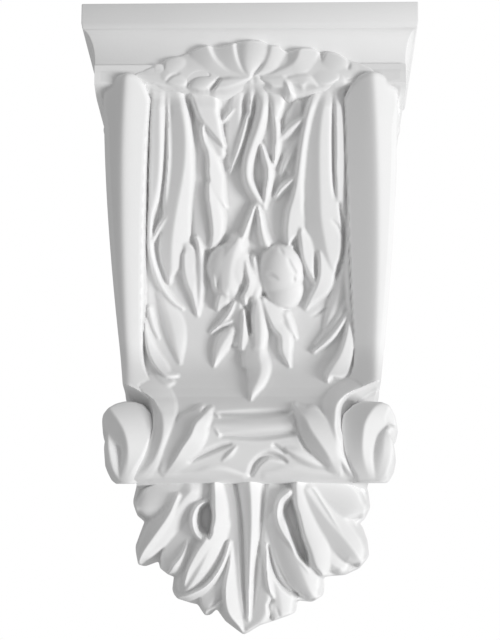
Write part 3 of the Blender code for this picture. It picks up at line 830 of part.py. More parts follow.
def half_bars(z):
    """Half the width over the bars at a height."""
    share = np.clip((z - BODY_FOOT) / (BODY_TOP - BODY_FOOT), 0, 1)
    width = BODY_FOOT_WIDTH + (BODY_TOP_WIDTH - BODY_FOOT_WIDTH) * share
    narrow = BEHIND_VOLUTE * ease((BODY_FOOT - z) / SCROLL_RADIUS)
    return width / 2 + 4 * BODY_BULGE * share * (1 - share) - narrow


def half_body(z):
    """Half the body's width at a height: it flares out beyond the bars to meet the neck."""
    return half_bars(z) + BODY_FLARE * ease((z - NECK_FOOT) / BODY_FLARE_HEIGHT + 1)


def bar_crest(z):
    """Depth of the bars' ridges: an S curve from the slab to the scroll."""
    share = np.clip((z - BODY_FOOT) / (BODY_TOP - BODY_FOOT), 0, 1)
    rise = BAR_CURVE * ease(share) + (1 - BAR_CURVE) * share
    return BAR_FOOT_DEPTH + (BAR_TOP_DEPTH - BAR_FOOT_DEPTH) * rise


def run_out(z):
    """How far the body's front has come forward to meet the scroll."""
    return RUN_OUT * ease((RUN_OUT_TOP - z) / RUN_OUT_HEIGHT)


def plain_floor(z):
    """Depth of the floor between the bars."""
    share = np.clip((z - BODY_FOOT) / (BODY_TOP - BODY_FOOT), 0, 1)
    return bar_crest(z) - (CHANNEL_FOOT_DEEP + (CHANNEL_DEEP - CHANNEL_FOOT_DEEP) * ease(share * 3))


def floor_depth(z):
    """Depth of the floor as it runs out on to the scroll."""
    floor = plain_floor(z) + run_out(z)
    roll = SCROLL_AXIS_DEPTH + np.sqrt(np.maximum(SCROLL_RADIUS ** 2 - (z - SCROLL_AXIS_UP) ** 2, 0))
    roll = np.where(np.abs(z - SCROLL_AXIS_UP) < SCROLL_RADIUS, roll, SCROLL_AXIS_DEPTH - ROLL_SHORT)
    under = np.clip(1 - (NECK_FOOT - z) / NECK_COVE, 0, 1)
    floor = floor + NECK_COVE * (1 - np.sqrt(1 - under ** 2))
    fillet = SCROLL_FILLET * ease((z - SCROLL_AXIS_UP) / SCROLL_RADIUS) + TINY
    blend = np.clip(0.5 + (roll - floor) / (2 * fillet), 0, 1)
    joined = floor + (roll - floor) * blend + fillet * blend * (1 - blend)
    return np.where(z > SCROLL_AXIS_UP, joined, roll)


def scroll_half(x, z):
    """Half width of the scroll, which spreads towards its foot and its top."""
    under = np.maximum(SCROLL_WAIST - z, 0) / SCROLL_SPREAD_HEIGHT
    over = np.maximum(z - SCROLL_WAIST, 0) / SCROLL_SPREAD_HEIGHT
    spread = SCROLL_SPREAD * (under ** SCROLL_SPREAD_POWER + over ** SCROLL_TOP_POWER)
    return SCROLL_HALF + spread - SCROLL_SHIFT * np.sign(x)


def bar_depth(x, z):
    """Depth of the bars: two slopes that meet in a ridge, then a step to the floor."""
    share = np.clip((z - BODY_FOOT) / (BODY_TOP - BODY_FOOT), 0, 1)
    curl = BAR_CURL * np.exp(np.minimum(BODY_FOOT - z, BAR_CURL_END) / BAR_CURL_HEIGHT)
    inner = BAR_INNER_FOOT + (BAR_INNER_TOP - BAR_INNER_FOOT) * share ** BAR_NARROWING - curl
    inner = inner - np.sign(x) * (BAR_SHIFT + BAR_SHIFT_MIDDLE * share * (1 - share))
    side = np.abs(x)
    ridge = BAR_RIDGE_FOOT + (BAR_RIDGE_TOP - BAR_RIDGE_FOOT) * share
    ridge = ridge + 4 * BAR_BULGE * share * (1 - share)
    past = side - ridge
    even, turn = (BAR_OUTER_SLOPE - BAR_INNER_SLOPE) / 2, (BAR_OUTER_SLOPE + BAR_INNER_SLOPE) / 2
    fall = even * past + turn * (np.hypot(past, BAR_RIDGE_ROUND) - BAR_RIDGE_ROUND)
    step = BAR_STEP_SLOPE * np.maximum(inner - side, 0)
    fall = fall + BAR_SIDE_SLOPE * np.maximum(side - half_bars(z), 0)
    outward = past / (BODY_TOP_WIDTH / 2 - BAR_RIDGE_TOP) * BAR_ARCH_OUTER
    across = np.clip(np.maximum(outward, -past / (ridge - inner)), 0, BAR_ARCH_REACH)
    arch = BAR_TOP - BAR_ARCH * across ** BAR_ARCH_POWER
    over = np.clip((z - arch) / BAR_TOP_ROUND + 1, 0, None)
    end = 1 - np.sqrt(1 - np.minimum(over, 1) ** 2) + BAR_END_SLOPE * np.maximum(over - 1, 0)
    foot = FOOT_SLOPE * np.maximum(BAR_END - z, 0)
    under = np.clip(1 - (NECK_FOOT - z) / NECK_COVE, 0, 1)
    cove = DEPTH - HOLLOW_FRONT - BAR_IN_NECK - NECK_COVE * np.sqrt(1 - under ** 2)
    cove = np.where(under > 0, cove, 0.0)
    top = bar_crest(z) + run_out(z) - fall - BAR_TOP_ROUND * end - foot
    return np.maximum(top, cove) - step


def as_object(bm, name):
    """A closed shape as an object of the scene, its faces outward."""
    bmesh.ops.recalc_face_normals(bm, faces=bm.faces)
    mesh = bpy.data.meshes.new(name)
    bm.to_mesh(mesh)
    bm.free()
    made = bpy.data.objects.new(name, mesh)
    bpy.context.scene.collection.objects.link(made)
    return made


def carved_grid(cells, front):
    """A carved surface. front gives x, y and z for shares across and up."""
    bm = bmesh.new()
    bmesh.ops.create_grid(bm, x_segments=cells[0], y_segments=cells[1], size=0.5)
    grid = np.array([v.co[:] for v in bm.verts])
    points = np.stack(front(grid[:, 0] + 0.5, grid[:, 1] + 0.5), -1)
    for vert, point in zip(bm.verts, points):
        vert.co = point
    return bm


def thinned(bm, name, faces):
    """The same surface with about this many triangles."""
    mesh = bpy.data.meshes.new(name)
    bmesh.ops.triangulate(bm, faces=bm.faces)
    bm.to_mesh(mesh)
    work = bpy.data.objects.new(name, mesh)
    bpy.context.scene.collection.objects.link(work)
    thin = work.modifiers.new("Thin", "DECIMATE")
    thin.ratio = min(1.0, faces / len(bm.faces))
    graph = bpy.context.evaluated_depsgraph_get()
    result = bpy.data.meshes.new_from_object(work.evaluated_get(graph))
    bpy.data.objects.remove(work)
    bm.clear()
    bm.from_mesh(result)
    return bm


def backed(bm, name, axis, place):
    """Closes a carved surface with straight sides to a flat back at a place along an axis."""
    rim = [edge for edge in bm.edges if edge.is_boundary]
    made = bmesh.ops.extrude_edge_only(bm, edges=rim)["geom"]
    for vert in made:
        if isinstance(vert, bmesh.types.BMVert):
            vert.co[axis] = place
    bmesh.ops.contextual_create(bm, geom=[edge for edge in made if isinstance(edge, bmesh.types.BMEdge)])
    return as_object(bm, name)


def make_slab():
    """The slab with its chamfer, hollow and neck, drawn in on the front and both sides."""
    top = HEIGHT / 2
    under = top - SLAB_EDGE
    hollow = under - SLAB_CHAMFER
    profile = [(0.0, top), (0.0, under), (CHAMFER_IN, hollow)]
    for k in range(1, HOLLOW_STEPS + 1):
        turn = math.pi / 2 * k / HOLLOW_STEPS
        inset = CHAMFER_IN + (HOLLOW_DEEP - CHAMFER_IN) * math.sin(turn)
        profile.append((inset, hollow - HOLLOW_HEIGHT * (1 - math.cos(turn))))
    profile.append((HOLLOW_DEEP, NECK_FOOT))
    bm = bmesh.new()
    rings = []
    for inset, z in profile:
        side, front = WIDTH / 2 - inset, DEPTH - inset * HOLLOW_FRONT / HOLLOW_DEEP
        corners = [(-side, BURIED), (-side, -front), (side, -front), (side, BURIED)]
        rings.append([bm.verts.new((x, y, z)) for x, y in corners])
    for above, below in zip(rings, rings[1:]):
        for k in range(4):
            bm.faces.new((above[k], above[(k + 1) % 4], below[(k + 1) % 4], below[k]))
    bm.faces.new(rings[0])
    bm.faces.new(rings[-1])
    return as_object(bm, "slab")


def make_body():
    """The body between its two rolls, the carved leaves and the scroll below them."""
    sheet = Sheet((-62, 62), (64, 290), STEP, 0)
    carve_side_leaves(sheet)
    carve_centre(sheet)
    carve_scroll(sheet)
    sheet.soften(SOFTEN)

    def front(s, t):
        z = BODY_BASE + (BODY_TOP + BODY_IN_NECK - BODY_BASE) * t
        x = (2 * s - 1) * half_body(z)
        floor = floor_depth(z)
        u, v = seen(x, -floor, z)
        height = sheet.at(u, v) * UNIT
        beyond = np.maximum(np.abs(x) - scroll_half(x, z), 0)
        below = ease((BODY_FOOT - z) / FOOT_BLEND + 0.5)
        lowest = plain_floor(z) + (SCROLL_AXIS_DEPTH - CORE_BEHIND - plain_floor(z)) * below
        height = height * (1 - below * (1 - ease((scroll_half(x, z) - np.abs(x)) / SCROLL_END_FADE)))
        floor = np.maximum(floor - SCROLL_END_SLOPE * beyond, np.minimum(lowest, floor))
        bars = bar_depth(x, z)
        bars = np.maximum(bars - SCROLL_END_SLOPE * beyond, np.minimum(lowest, bars))
        under = np.clip(1 - (NECK_FOOT - z) / NECK_COVE, 0, 1)
        height = height * (1 - LEAF_FADE * ease(under))
        carved = floor + height
        depth = np.maximum(carved, bars)
        drop = np.where(carved > bars, height, 0.0)
        fade = ease((BODY_TOP - z) / LEAN_FADE_TOP) * ease((z - BODY_BASE) / LEAN_FADE_FOOT)
        return x, -depth, z - LEAN * drop * fade

    bm = thinned(carved_grid(BODY_CELLS, front), "body", BODY_FACES)
    return backed(bm, "body", 1, BURIED)


def make_crest():
    """The flower and its leafy band, standing on the neck."""
    sheet = Sheet((-72, 72), (262, 306), STEP, -9)
    carve_crest(sheet)
    sheet.keep_within(CREST_OUTLINE)
    sheet.soften(SOFTEN)
    base = DEPTH - HOLLOW_FRONT - CREST_SUNK

    def front(s, t):
        z = CREST_LOW + (CREST_HIGH - CREST_LOW) * t
        x = (2 * s - 1) * CREST_HALF
        u, v = seen(x, 0 * z - base, z)
        height = sheet.at(u, v)
        height = height - CREST_FALL * np.maximum(CREST_GROUND - height, 0)
        height = np.maximum(height, CREST_HIDDEN) * UNIT
        height = np.minimum(height, DEPTH - CREST_BACK - base)
        return x, -(base + height), z - LEAN * np.maximum(height, 0)

    bm = thinned(carved_grid(CREST_CELLS, front), "crest", CREST_FACES)
    return backed(bm, "crest", 1, CREST_ROOT - base)


def make_hanging_leaf():
    """The pendant leaf, which leans back to the wall towards its tip."""
    sheet = Sheet((-66, 66), (-8, 92), STEP, LEAF_GROUND)
    carve_pendant(sheet)
    sheet.keep_within(LEAF_OUTLINE)
    sheet.soften(SOFTEN)
    low, high = -HEIGHT / 2 - LEAF_MARGIN, LEAF_HIGH

    def front(s, t):
        z = low + (high - low) * t
        x = (2 * s - 1) * LEAF_HALF
        share = np.clip((z + HEIGHT / 2) / (SCROLL_AXIS_UP - SCROLL_RADIUS + HEIGHT / 2), 0, 1)
        base = LEAF_TIP_DEPTH + (LEAF_TOP_DEPTH - LEAF_TIP_DEPTH) * np.sin(share * math.pi / 2)
        u, v = seen(x, -base, z)
        height = sheet.at(u, v) * UNIT
        depth = np.maximum(base + height, CUT_BACK - BURIED)
        z = z - LEAF_LEAN * (depth - base)
        lowest = LEAF_MARGIN * FLATTENED - HEIGHT / 2
        return x, -depth, np.where(z < lowest, lowest + (z - lowest) * FLATTENED, z)

    bm = thinned(carved_grid(LEAF_CELLS, front), "leaf", LEAF_FACES)
    return backed(bm, "leaf", 1, BURIED)


def make_volutes():
    """The two rolled ends of the scroll, each cut round at the back."""
    sheet = Sheet((-84, 84), (66, 130), STEP, 0)
    carve_volutes(sheet)
    sheet.soften(SOFTEN)
    found = []
    for side in BOTH:
        def front(s, t):
            z = SCROLL_AXIS_UP + (2 * t - 1) * (VOLUTE_RADIUS + VOLUTE_MARGIN)
            x = side * (VOLUTE_INNER + (VOLUTE_OUTER - VOLUTE_INNER) * s)
            u, v = seen(x, 0 * z - VOLUTE_DRAWN, z)
            up = (z - SCROLL_AXIS_UP) / (VOLUTE_RADIUS + DRUM_OVER)
            height = sheet.at(u, v) * UNIT
            height = np.where(height > 0, height * np.sqrt(np.clip(1 - up ** 2, FLATTENED, 1)), height)
            return x, -np.maximum(VOLUTE_DEPTH + height, CUT_BACK - BURIED), z

        bm = thinned(carved_grid(VOLUTE_CELLS, front), "volute", VOLUTE_FACES)
        found.append(combined(backed(bm, "volute", 1, BURIED), [make_drum(side)], "INTERSECT"))
    return found


def make_drum(side):
    """A round bar along X, which rounds a volute's back."""
    bm = bmesh.new()
    radius = VOLUTE_RADIUS + DRUM_OVER
    bmesh.ops.create_cone(bm, cap_ends=True, segments=DRUM_SEGMENTS, radius1=radius, radius2=radius,
                          depth=(VOLUTE_OUTER - VOLUTE_INNER) * DRUM_LONG)
    for vert in bm.verts:
        x, y, z = vert.co
        middle = side * (VOLUTE_OUTER + VOLUTE_INNER) / 2
        vert.co = (z + middle, y - VOLUTE_DEPTH, x + SCROLL_AXIS_UP)
    return as_object(bm, "drum")


def make_cheeks():
    """The S scrolls on the body's sides."""
    sheet = Sheet((0, 112), (110, 270), STEP * 1.5, -4)
    carve_cheek(sheet)
    sheet.soften(SOFTEN)
    found = []
    for side in BOTH:
        def front(s, t):
            z = CHEEK_LOW + (CHEEK_HIGH - CHEEK_LOW) * t
            depth = CHEEK_BACK + (bar_crest(z) - CHEEK_EDGE - CHEEK_BACK) * s
            height = sheet.at(depth / DEPTH * DRAWN_DEPTH, z / HEIGHT * DRAWN_HEIGHT + DRAWN_HEIGHT / 2)
            height = np.maximum(height, CHEEK_GROUND) * UNIT
            return side * (half_body(z) - CHEEK_SUNK + height), -depth, z

        bm = thinned(carved_grid(CHEEK_CELLS, front), "cheek", CHEEK_FACES)
        found.append(backed(bm, "cheek", 0, side * CHEEK_INNER))
    return found


def combined(base, others, operation):
    """One object from several, by exact Booleans. The others are removed."""
    for other in others:
        boolean = base.modifiers.new(other.name, "BOOLEAN")
        boolean.operation = operation
        boolean.object = other
        boolean.solver = "EXACT"
    graph = bpy.context.evaluated_depsgraph_get()
    mesh = bpy.data.meshes.new_from_object(base.evaluated_get(graph))
    base.modifiers.clear()
    base.data = mesh
    for other in others:
        bpy.data.objects.remove(other)
    return base


def cut_at_wall(solid):
    """Cuts a solid off flat at the wall plane."""
    bm = bmesh.new()
    bm.from_mesh(solid.data)
    geom = bm.verts[:] + bm.edges[:] + bm.faces[:]
    bmesh.ops.bisect_plane(bm, geom=geom, plane_co=(0, 0, 0), plane_no=(0, 1, 0), clear_outer=True)
    bmesh.ops.holes_fill(bm, edges=[edge for edge in bm.edges if edge.is_boundary], sides=0)
    bmesh.ops.recalc_face_normals(bm, faces=bm.faces)
    bm.to_mesh(solid.data)
    bm.free()


def plaster():
    """Matt white plaster."""
    material = bpy.data.materials.new("plaster")
    material.use_nodes = True
    shader = material.node_tree.nodes["Principled BSDF"]
    shader.inputs["Base Color"].default_value = (0.86, 0.86, 0.85, 1.0)
    shader.inputs["Roughness"].default_value = 0.7
    shader.inputs["Metallic"].default_value = 0.0
    return material


def main():
    for old in list(bpy.data.objects):
        bpy.data.objects.remove(old)
    corbel = make_slab()
    pieces = [make_body(), make_crest(), make_hanging_leaf(), *make_volutes(), *make_cheeks()]
    combined(corbel, pieces, "UNION")
    cut_at_wall(corbel)
    corbel.name = "corbel"
    corbel.data.name = "corbel"
    corbel.data.materials.clear()
    corbel.data.materials.append(plaster())


if __name__ == "__main__":
    main()
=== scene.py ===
"""Dresses the corbel for a render: its fine carving in white plaster, a studio and a camera.

It is laid out as an add-on. Each operator makes one piece, or a group of like pieces, from the sizes
in the sidebar panel. The carving is drawn on sheets seen from the front and raised on curved grounds.
"""

import math

import bmesh
import bpy
import numpy as np
from bpy.props import FloatProperty, FloatVectorProperty, IntProperty, PointerProperty
from bpy.types import Operator, Panel, PropertyGroup
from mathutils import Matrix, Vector


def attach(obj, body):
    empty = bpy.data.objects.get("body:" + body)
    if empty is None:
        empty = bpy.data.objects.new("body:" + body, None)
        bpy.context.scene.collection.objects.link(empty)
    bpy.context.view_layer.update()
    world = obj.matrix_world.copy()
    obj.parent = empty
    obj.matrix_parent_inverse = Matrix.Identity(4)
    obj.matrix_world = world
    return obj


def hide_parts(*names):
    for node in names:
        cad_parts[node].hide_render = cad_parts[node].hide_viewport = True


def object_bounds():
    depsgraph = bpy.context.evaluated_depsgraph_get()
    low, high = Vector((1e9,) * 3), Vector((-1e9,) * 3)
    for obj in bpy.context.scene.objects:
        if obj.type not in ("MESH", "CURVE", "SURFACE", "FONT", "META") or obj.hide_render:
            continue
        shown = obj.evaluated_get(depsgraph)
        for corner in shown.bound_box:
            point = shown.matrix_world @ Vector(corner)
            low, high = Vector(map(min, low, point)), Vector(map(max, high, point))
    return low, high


bl_info = {
    "name": "Carved Corbel",
    "version": (1, 0, 0),
    "blender": (4, 5, 0),
    "location": "View3D > Sidebar > Corbel",
    "description": "Makes a plaster corbel with acanthus leaves, and a studio round it",
    "category": "Add Mesh",
}

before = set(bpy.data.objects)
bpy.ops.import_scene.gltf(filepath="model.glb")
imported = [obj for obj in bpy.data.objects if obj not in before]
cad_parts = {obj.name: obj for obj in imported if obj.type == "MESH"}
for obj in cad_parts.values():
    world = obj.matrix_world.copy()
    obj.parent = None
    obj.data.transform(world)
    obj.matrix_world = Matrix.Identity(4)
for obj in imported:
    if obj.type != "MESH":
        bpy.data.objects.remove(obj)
cad_low, cad_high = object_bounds()

BODY = "root"
NODE = "corbel"

# The front drawing, in units of a millimetre, and the place that it is seen from
DRAWN_WIDTH = 170.0
DRAWN_DEPTH = 130.0
DRAWN_HEIGHT = 309.0
DRAWN_PER_METRE = 1000.0
DRAWN_SCALE = 1091.5         # units on the drawing for a slope of one from the eye
DRAWN_MIDDLE = (0.76, 154.2)
DRAWN_EYE = (19.5, -1156.0, -252.0)
DRAWN_AIM = (0.0, -65.0, 0.0)
LEAN = 0.23                  # how far a raised form drops for its height, along the sight line
LEAF_LEAN = 0.18             # and on the hanging leaf, where the sight line is flatter

FLANK = 4.0                  # fall of a leaf's edge, for each unit outwards
STEEP = 9.0                  # and of a lobe's
OUTER_WALL = 14.0            # and of what an outline cuts off
RIM = 0.2                    # height of an outline's rim, as a share of the highest form
DRAWN_MARGIN = 4.0           # drawn past a blade's edges
PATH_STEPS = 6               # between two points of a path
NARROWEST = 0.05             # width that a path keeps at its ends
TINY = 1e-6                  # keeps a division from failing

# Small sizes of the slab and the body, in metres
CHAMFER_IN = 0.0006
HOLLOW_STEPS = 10
SLAB_BEVEL = 0.0005
BODY_BEHIND_NECK = 0.006     # how far the body's carving runs up behind the neck
BODY_IN_NECK = 0.004         # and its surface past that
BODY_OVER_SCROLL = 0.004
BODY_BASE_SHARE = 0.985      # of the scroll's radius, from its axis down to the body's base
BODY_FLARE_HEIGHT = 0.021    # height over which the sides spread to the neck
BEHIND_VOLUTE = 0.006        # how far the sides draw in behind the volutes
BACK_GAP = 0.0001            # body's back to the slab's and the leaf's, which overlap it
NECK_COVE = 0.010            # radius that carries the floor out under the neck
LEAF_FADE = 0.85             # share of their height that the leaves lose there
CHANNEL_SHALLOWS = 3.0       # the channel is at its full depth from one part in this many up the body
LEAN_FADE_TOP = 0.02         # the lean fades out over these, at the body's top and base
LEAN_FADE_FOOT = 0.01

# The bars that edge the front
BAR_CURVE = 0.65             # how much of an S their front is, from 0 to 1
BAR_EVEN_SLOPE = 0.26        # half of what their outer face falls more than their inner one
BAR_TURN_SLOPE = 0.74        # and half of what the two fall together
BAR_SIDE_SLOPE = 3.0         # past their side
BAR_STEP_SLOPE = 7.0         # and at the step to the floor
BAR_RIDGE_ROUND = 0.0022
BAR_BULGE = 0.010            # four times how far their ridge swings outward half way up
BAR_SHIFT = 0.0012           # both bars' inner edges lie this much to the left
BAR_SHIFT_MIDDLE = 0.0060    # and half way up by a quarter of this more
BAR_NARROWING = 1.3          # how late up the body a bar widens
BAR_CURL = 0.0100            # how far a bar's foot turns in
BAR_CURL_HEIGHT = 0.0065
BAR_CURL_END = 0.010
BAR_FOOT_SHORT = 0.006       # a bar's foot lies this far below the body's
FOOT_SLOPE = 2.0             # its fall there
BAR_IN_NECK = 0.0004         # the cove under the neck ends this far behind its front
BAR_OVER_NECK = 0.0052
BAR_TOP_ROUND = 0.004
BAR_END_SLOPE = 4.0
BAR_ARCH = 0.011             # how far the arched top of a bar falls to its edges
BAR_ARCH_OUTER = 0.66        # the share of that fall that its outer edge reaches
BAR_ARCH_POWER = 3.0
BAR_ARCH_REACH = 1.3

# The scroll across the foot, and its rolled ends
FOOT_BLEND = 0.010           # height over which the body's front draws in to the roll's width
SCROLL_FILLET = 0.006
ROLL_SHORT = 0.002           # past the roll's edge it counts as this far behind its axis
CORE_BEHIND = 0.004          # the core between the volutes lies this far behind it
RUN_OUT = 0.0195             # how far the floor comes forward on to the scroll
RUN_OUT_TOP = -0.0080
RUN_OUT_HEIGHT = 0.0400
SCROLL_NARROWER = 0.0185     # on each side, than the body's foot
SCROLL_WAIST = -0.0545       # where the scroll is narrowest
SCROLL_SPREAD = 0.0140       # how much wider each side is at its foot
SCROLL_SPREAD_HEIGHT = 0.0225
SCROLL_SPREAD_POWER = 1.6
SCROLL_TOP_POWER = 4
SCROLL_SHIFT = 0.0022        # and how far both its ends lie to the left
SCROLL_END_SLOPE = 4.0
SCROLL_END_FADE = 0.003      # the carving fades out over this at the scroll's ends
VOLUTE_INSIDE = 0.0206       # body's side at its foot to a volute's inner end
VOLUTE_OUTSIDE = 0.0164      # and to its outer end
VOLUTE_MARGIN = 0.006        # of drawing above and below a volute
VOLUTE_DRAWN = 0.85          # where the drawing meets its face, in radii from its axis
VOLUTE_FLATTENED = 0.02
DRUM_OVER = 0.0012           # how far the bar that rounds a volute's back stands over its radius
DRUM_LONG = 1.5              # its length, in widths of a volute
DRUM_SEGMENTS = 120

# The crest, the hanging leaf and the cheeks
CREST_SUNK = 0.0015          # how far the crest's ground lies in the neck
CREST_BACK = 0.0004          # how far its highest leaf stays behind the slab's front
CREST_BELOW = 0.012          # its reach below the neck's foot
CREST_ABOVE = 0.026          # and above it
CREST_NARROWER = 0.0012      # on each side, than the body's top
CREST_GROUND = -5.0          # on the drawing: what is lower falls back out of sight
CREST_FALL = 4               # for each unit
CREST_HIDDEN = -25.0         # as far as this
CREST_ROOT = 0.030
LEAF_MARGIN = 0.012          # of drawing below the leaf's tip
LEAF_ROOT = 0.6              # its root inside the scroll, in radii below the axis
LEAF_FLATTENED = 0.01        # what would hang below the solid is pressed to this share
BURIED = 0.008               # how far blocks run on behind the wall plane, before it is cut flat
CUT_BACK = -0.005            # what an outline cuts off lies here, behind the wall plane
FINER = 0.8                  # of a cell, on the small carved pieces
CHEEK_COARSER = 2
CHEEK_OVER_FOOT = 0.004
CHEEK_OVER_NECK = 0.002
CHEEK_BACK = 0.010
CHEEK_EDGE = 0.0128          # how far behind the bars' ridge they end
CHEEK_LENGTH = 0.100
CHEEK_LOWEST = -2.0          # on the drawing
CHEEK_SUNK = 0.0006          # how far the cheeks' ground lies in the body's side
CHEEK_INNER = 0.007          # body's side at its foot to a cheek's back

# Shading and studio
SMOOTH_ANGLE = math.radians(50)
BEVEL_ANGLE = math.radians(28)
RELIEF_ROUNDS = 8            # of smoothing, which the relief is measured against
RELIEF_SOFT = 2
RELIEF_UNITS = 1000          # for a metre
# Painted shade: relief over which the plaster's colour darkens in the hollows, standing in for shade there
PAINTED_SHADE_RELIEF = (-0.02, -0.30)   # from plain to deepest
# Painted highlight: relief over which the plaster's colour lightens on sharp edges, standing in for light
# catching them
PAINTED_HIGHLIGHT_RELIEF = (0.03, 0.25)       # from plain to sharpest
CLOUD_TONE = (0.975, 1.02)
CLOUD_SCALE = 28.0
CLOUD_DETAIL = 4.0
CLOUD_ROUGHNESS = 0.12
GRAIN_SCALE = 900.0
GRAIN_DETAIL = 3.0
GRAIN_STRENGTH = 0.5
PLASTER_SHEEN = 0.3
WHITE = (1.0, 1.0, 1.0, 1.0)
FLOOR_SIZE = 3.0
FLOOR_CLOUD_TONE = 1.02
FLOOR_CLOUD_SCALE = 3.0
FLOOR_ROUGHNESS = 0.9
KEY_PLACE = (5.0, -3.0, -1.65)
KEY_SIZE = 1.8
LENS_ANGLE = math.radians(13.196)
LENS_SHIFT = (-0.004, 0.0192)
LENS_NEAR = 0.01

# The outline of the hanging leaf on the drawing
LEAF_OUTLINE = [
    (-56, 98), (-57.5, 73), (-59.2, 66), (-57.4, 60.4), (-52.4, 56.2), (-55.6, 48), (-58.0, 41.5),
    (-56.8, 35.4), (-52, 37.2), (-45.6, 39.6), (-45.6, 33.4), (-42, 30.6), (-37.4, 28.6),
    (-38.6, 20), (-37, 18.2), (-30, 15.8), (-26.6, 15.0), (-23.0, 9.6), (-20.5, 12.2),
    (-17.0, 13.0), (-12, 6), (-6, 1.6), (-3.6, 0), (4, 4.6), (11, 6.8), (20.4, 10.2),
    (21.2, 17.2), (25, 17.2), (31, 16.6), (34.6, 18.8), (34.6, 29.0), (40, 30.0), (48, 30.6),
    (54.5, 33.6), (58.0, 38), (57.2, 44), (55, 50), (51.6, 55), (56.4, 58.8), (58.4, 63),
    (57.6, 69), (56, 75), (55, 98)]

# The outline of the flower and its band
CREST_OUTLINE = [
    (-60, 282), (-58, 284), (-50, 287), (-45, 289.4), (-42, 291.2), (-34, 293), (-27, 296.2),
    (-22, 297.9), (-15.4, 297.0), (-9, 298.6), (-6, 299.5), (0.5, 300.4), (5, 300.1), (9.8, 298),
    (14.5, 297.5), (18, 294.6), (22.4, 295.2), (26, 296.5), (31, 296.6), (35, 294.4), (38, 295.2),
    (42, 294.6), (45, 293.2), (49, 290.7), (55, 289.0), (60, 287.2), (64, 284.2), (68.4, 279.4),
    (60, 280.2), (44, 279.0), (38, 275.8), (20, 271.8), (-22, 272.4), (-31, 274.8), (-44, 276.0),
    (-56, 279.0)]

# The outlines of the rolled ends
VOLUTE_OUTLINES = (
    [(-54.4, 118.8), (-59, 120.4), (-64.5, 120.6), (-69, 119), (-73, 116), (-75.6, 112.8), (-76.2, 110),
     (-75.6, 106.5), (-74.2, 103.5), (-74.6, 100), (-75.2, 96.7), (-74.9, 92), (-73.5, 88),
     (-71.6, 83.6), (-69, 80.3), (-65, 77.1), (-59.3, 81.7), (-53.5, 89.4), (-51, 94.6),
     (-49.2, 99.6), (-48.6, 105), (-49, 109.3), (-50.6, 114)],
    [(52.3, 118.8), (57, 120.6), (66.6, 120), (71, 118), (73.7, 114), (74.5, 110), (73.5, 105.5),
     (71.5, 102.5), (73, 99), (73.5, 94), (72.5, 88), (70, 82), (66, 78.6), (60, 76.5), (56, 77.4),
     (54.0, 79.9), (50.0, 85), (46.6, 92.9), (45.0, 99.6), (44.6, 107.4), (46.2, 113)])


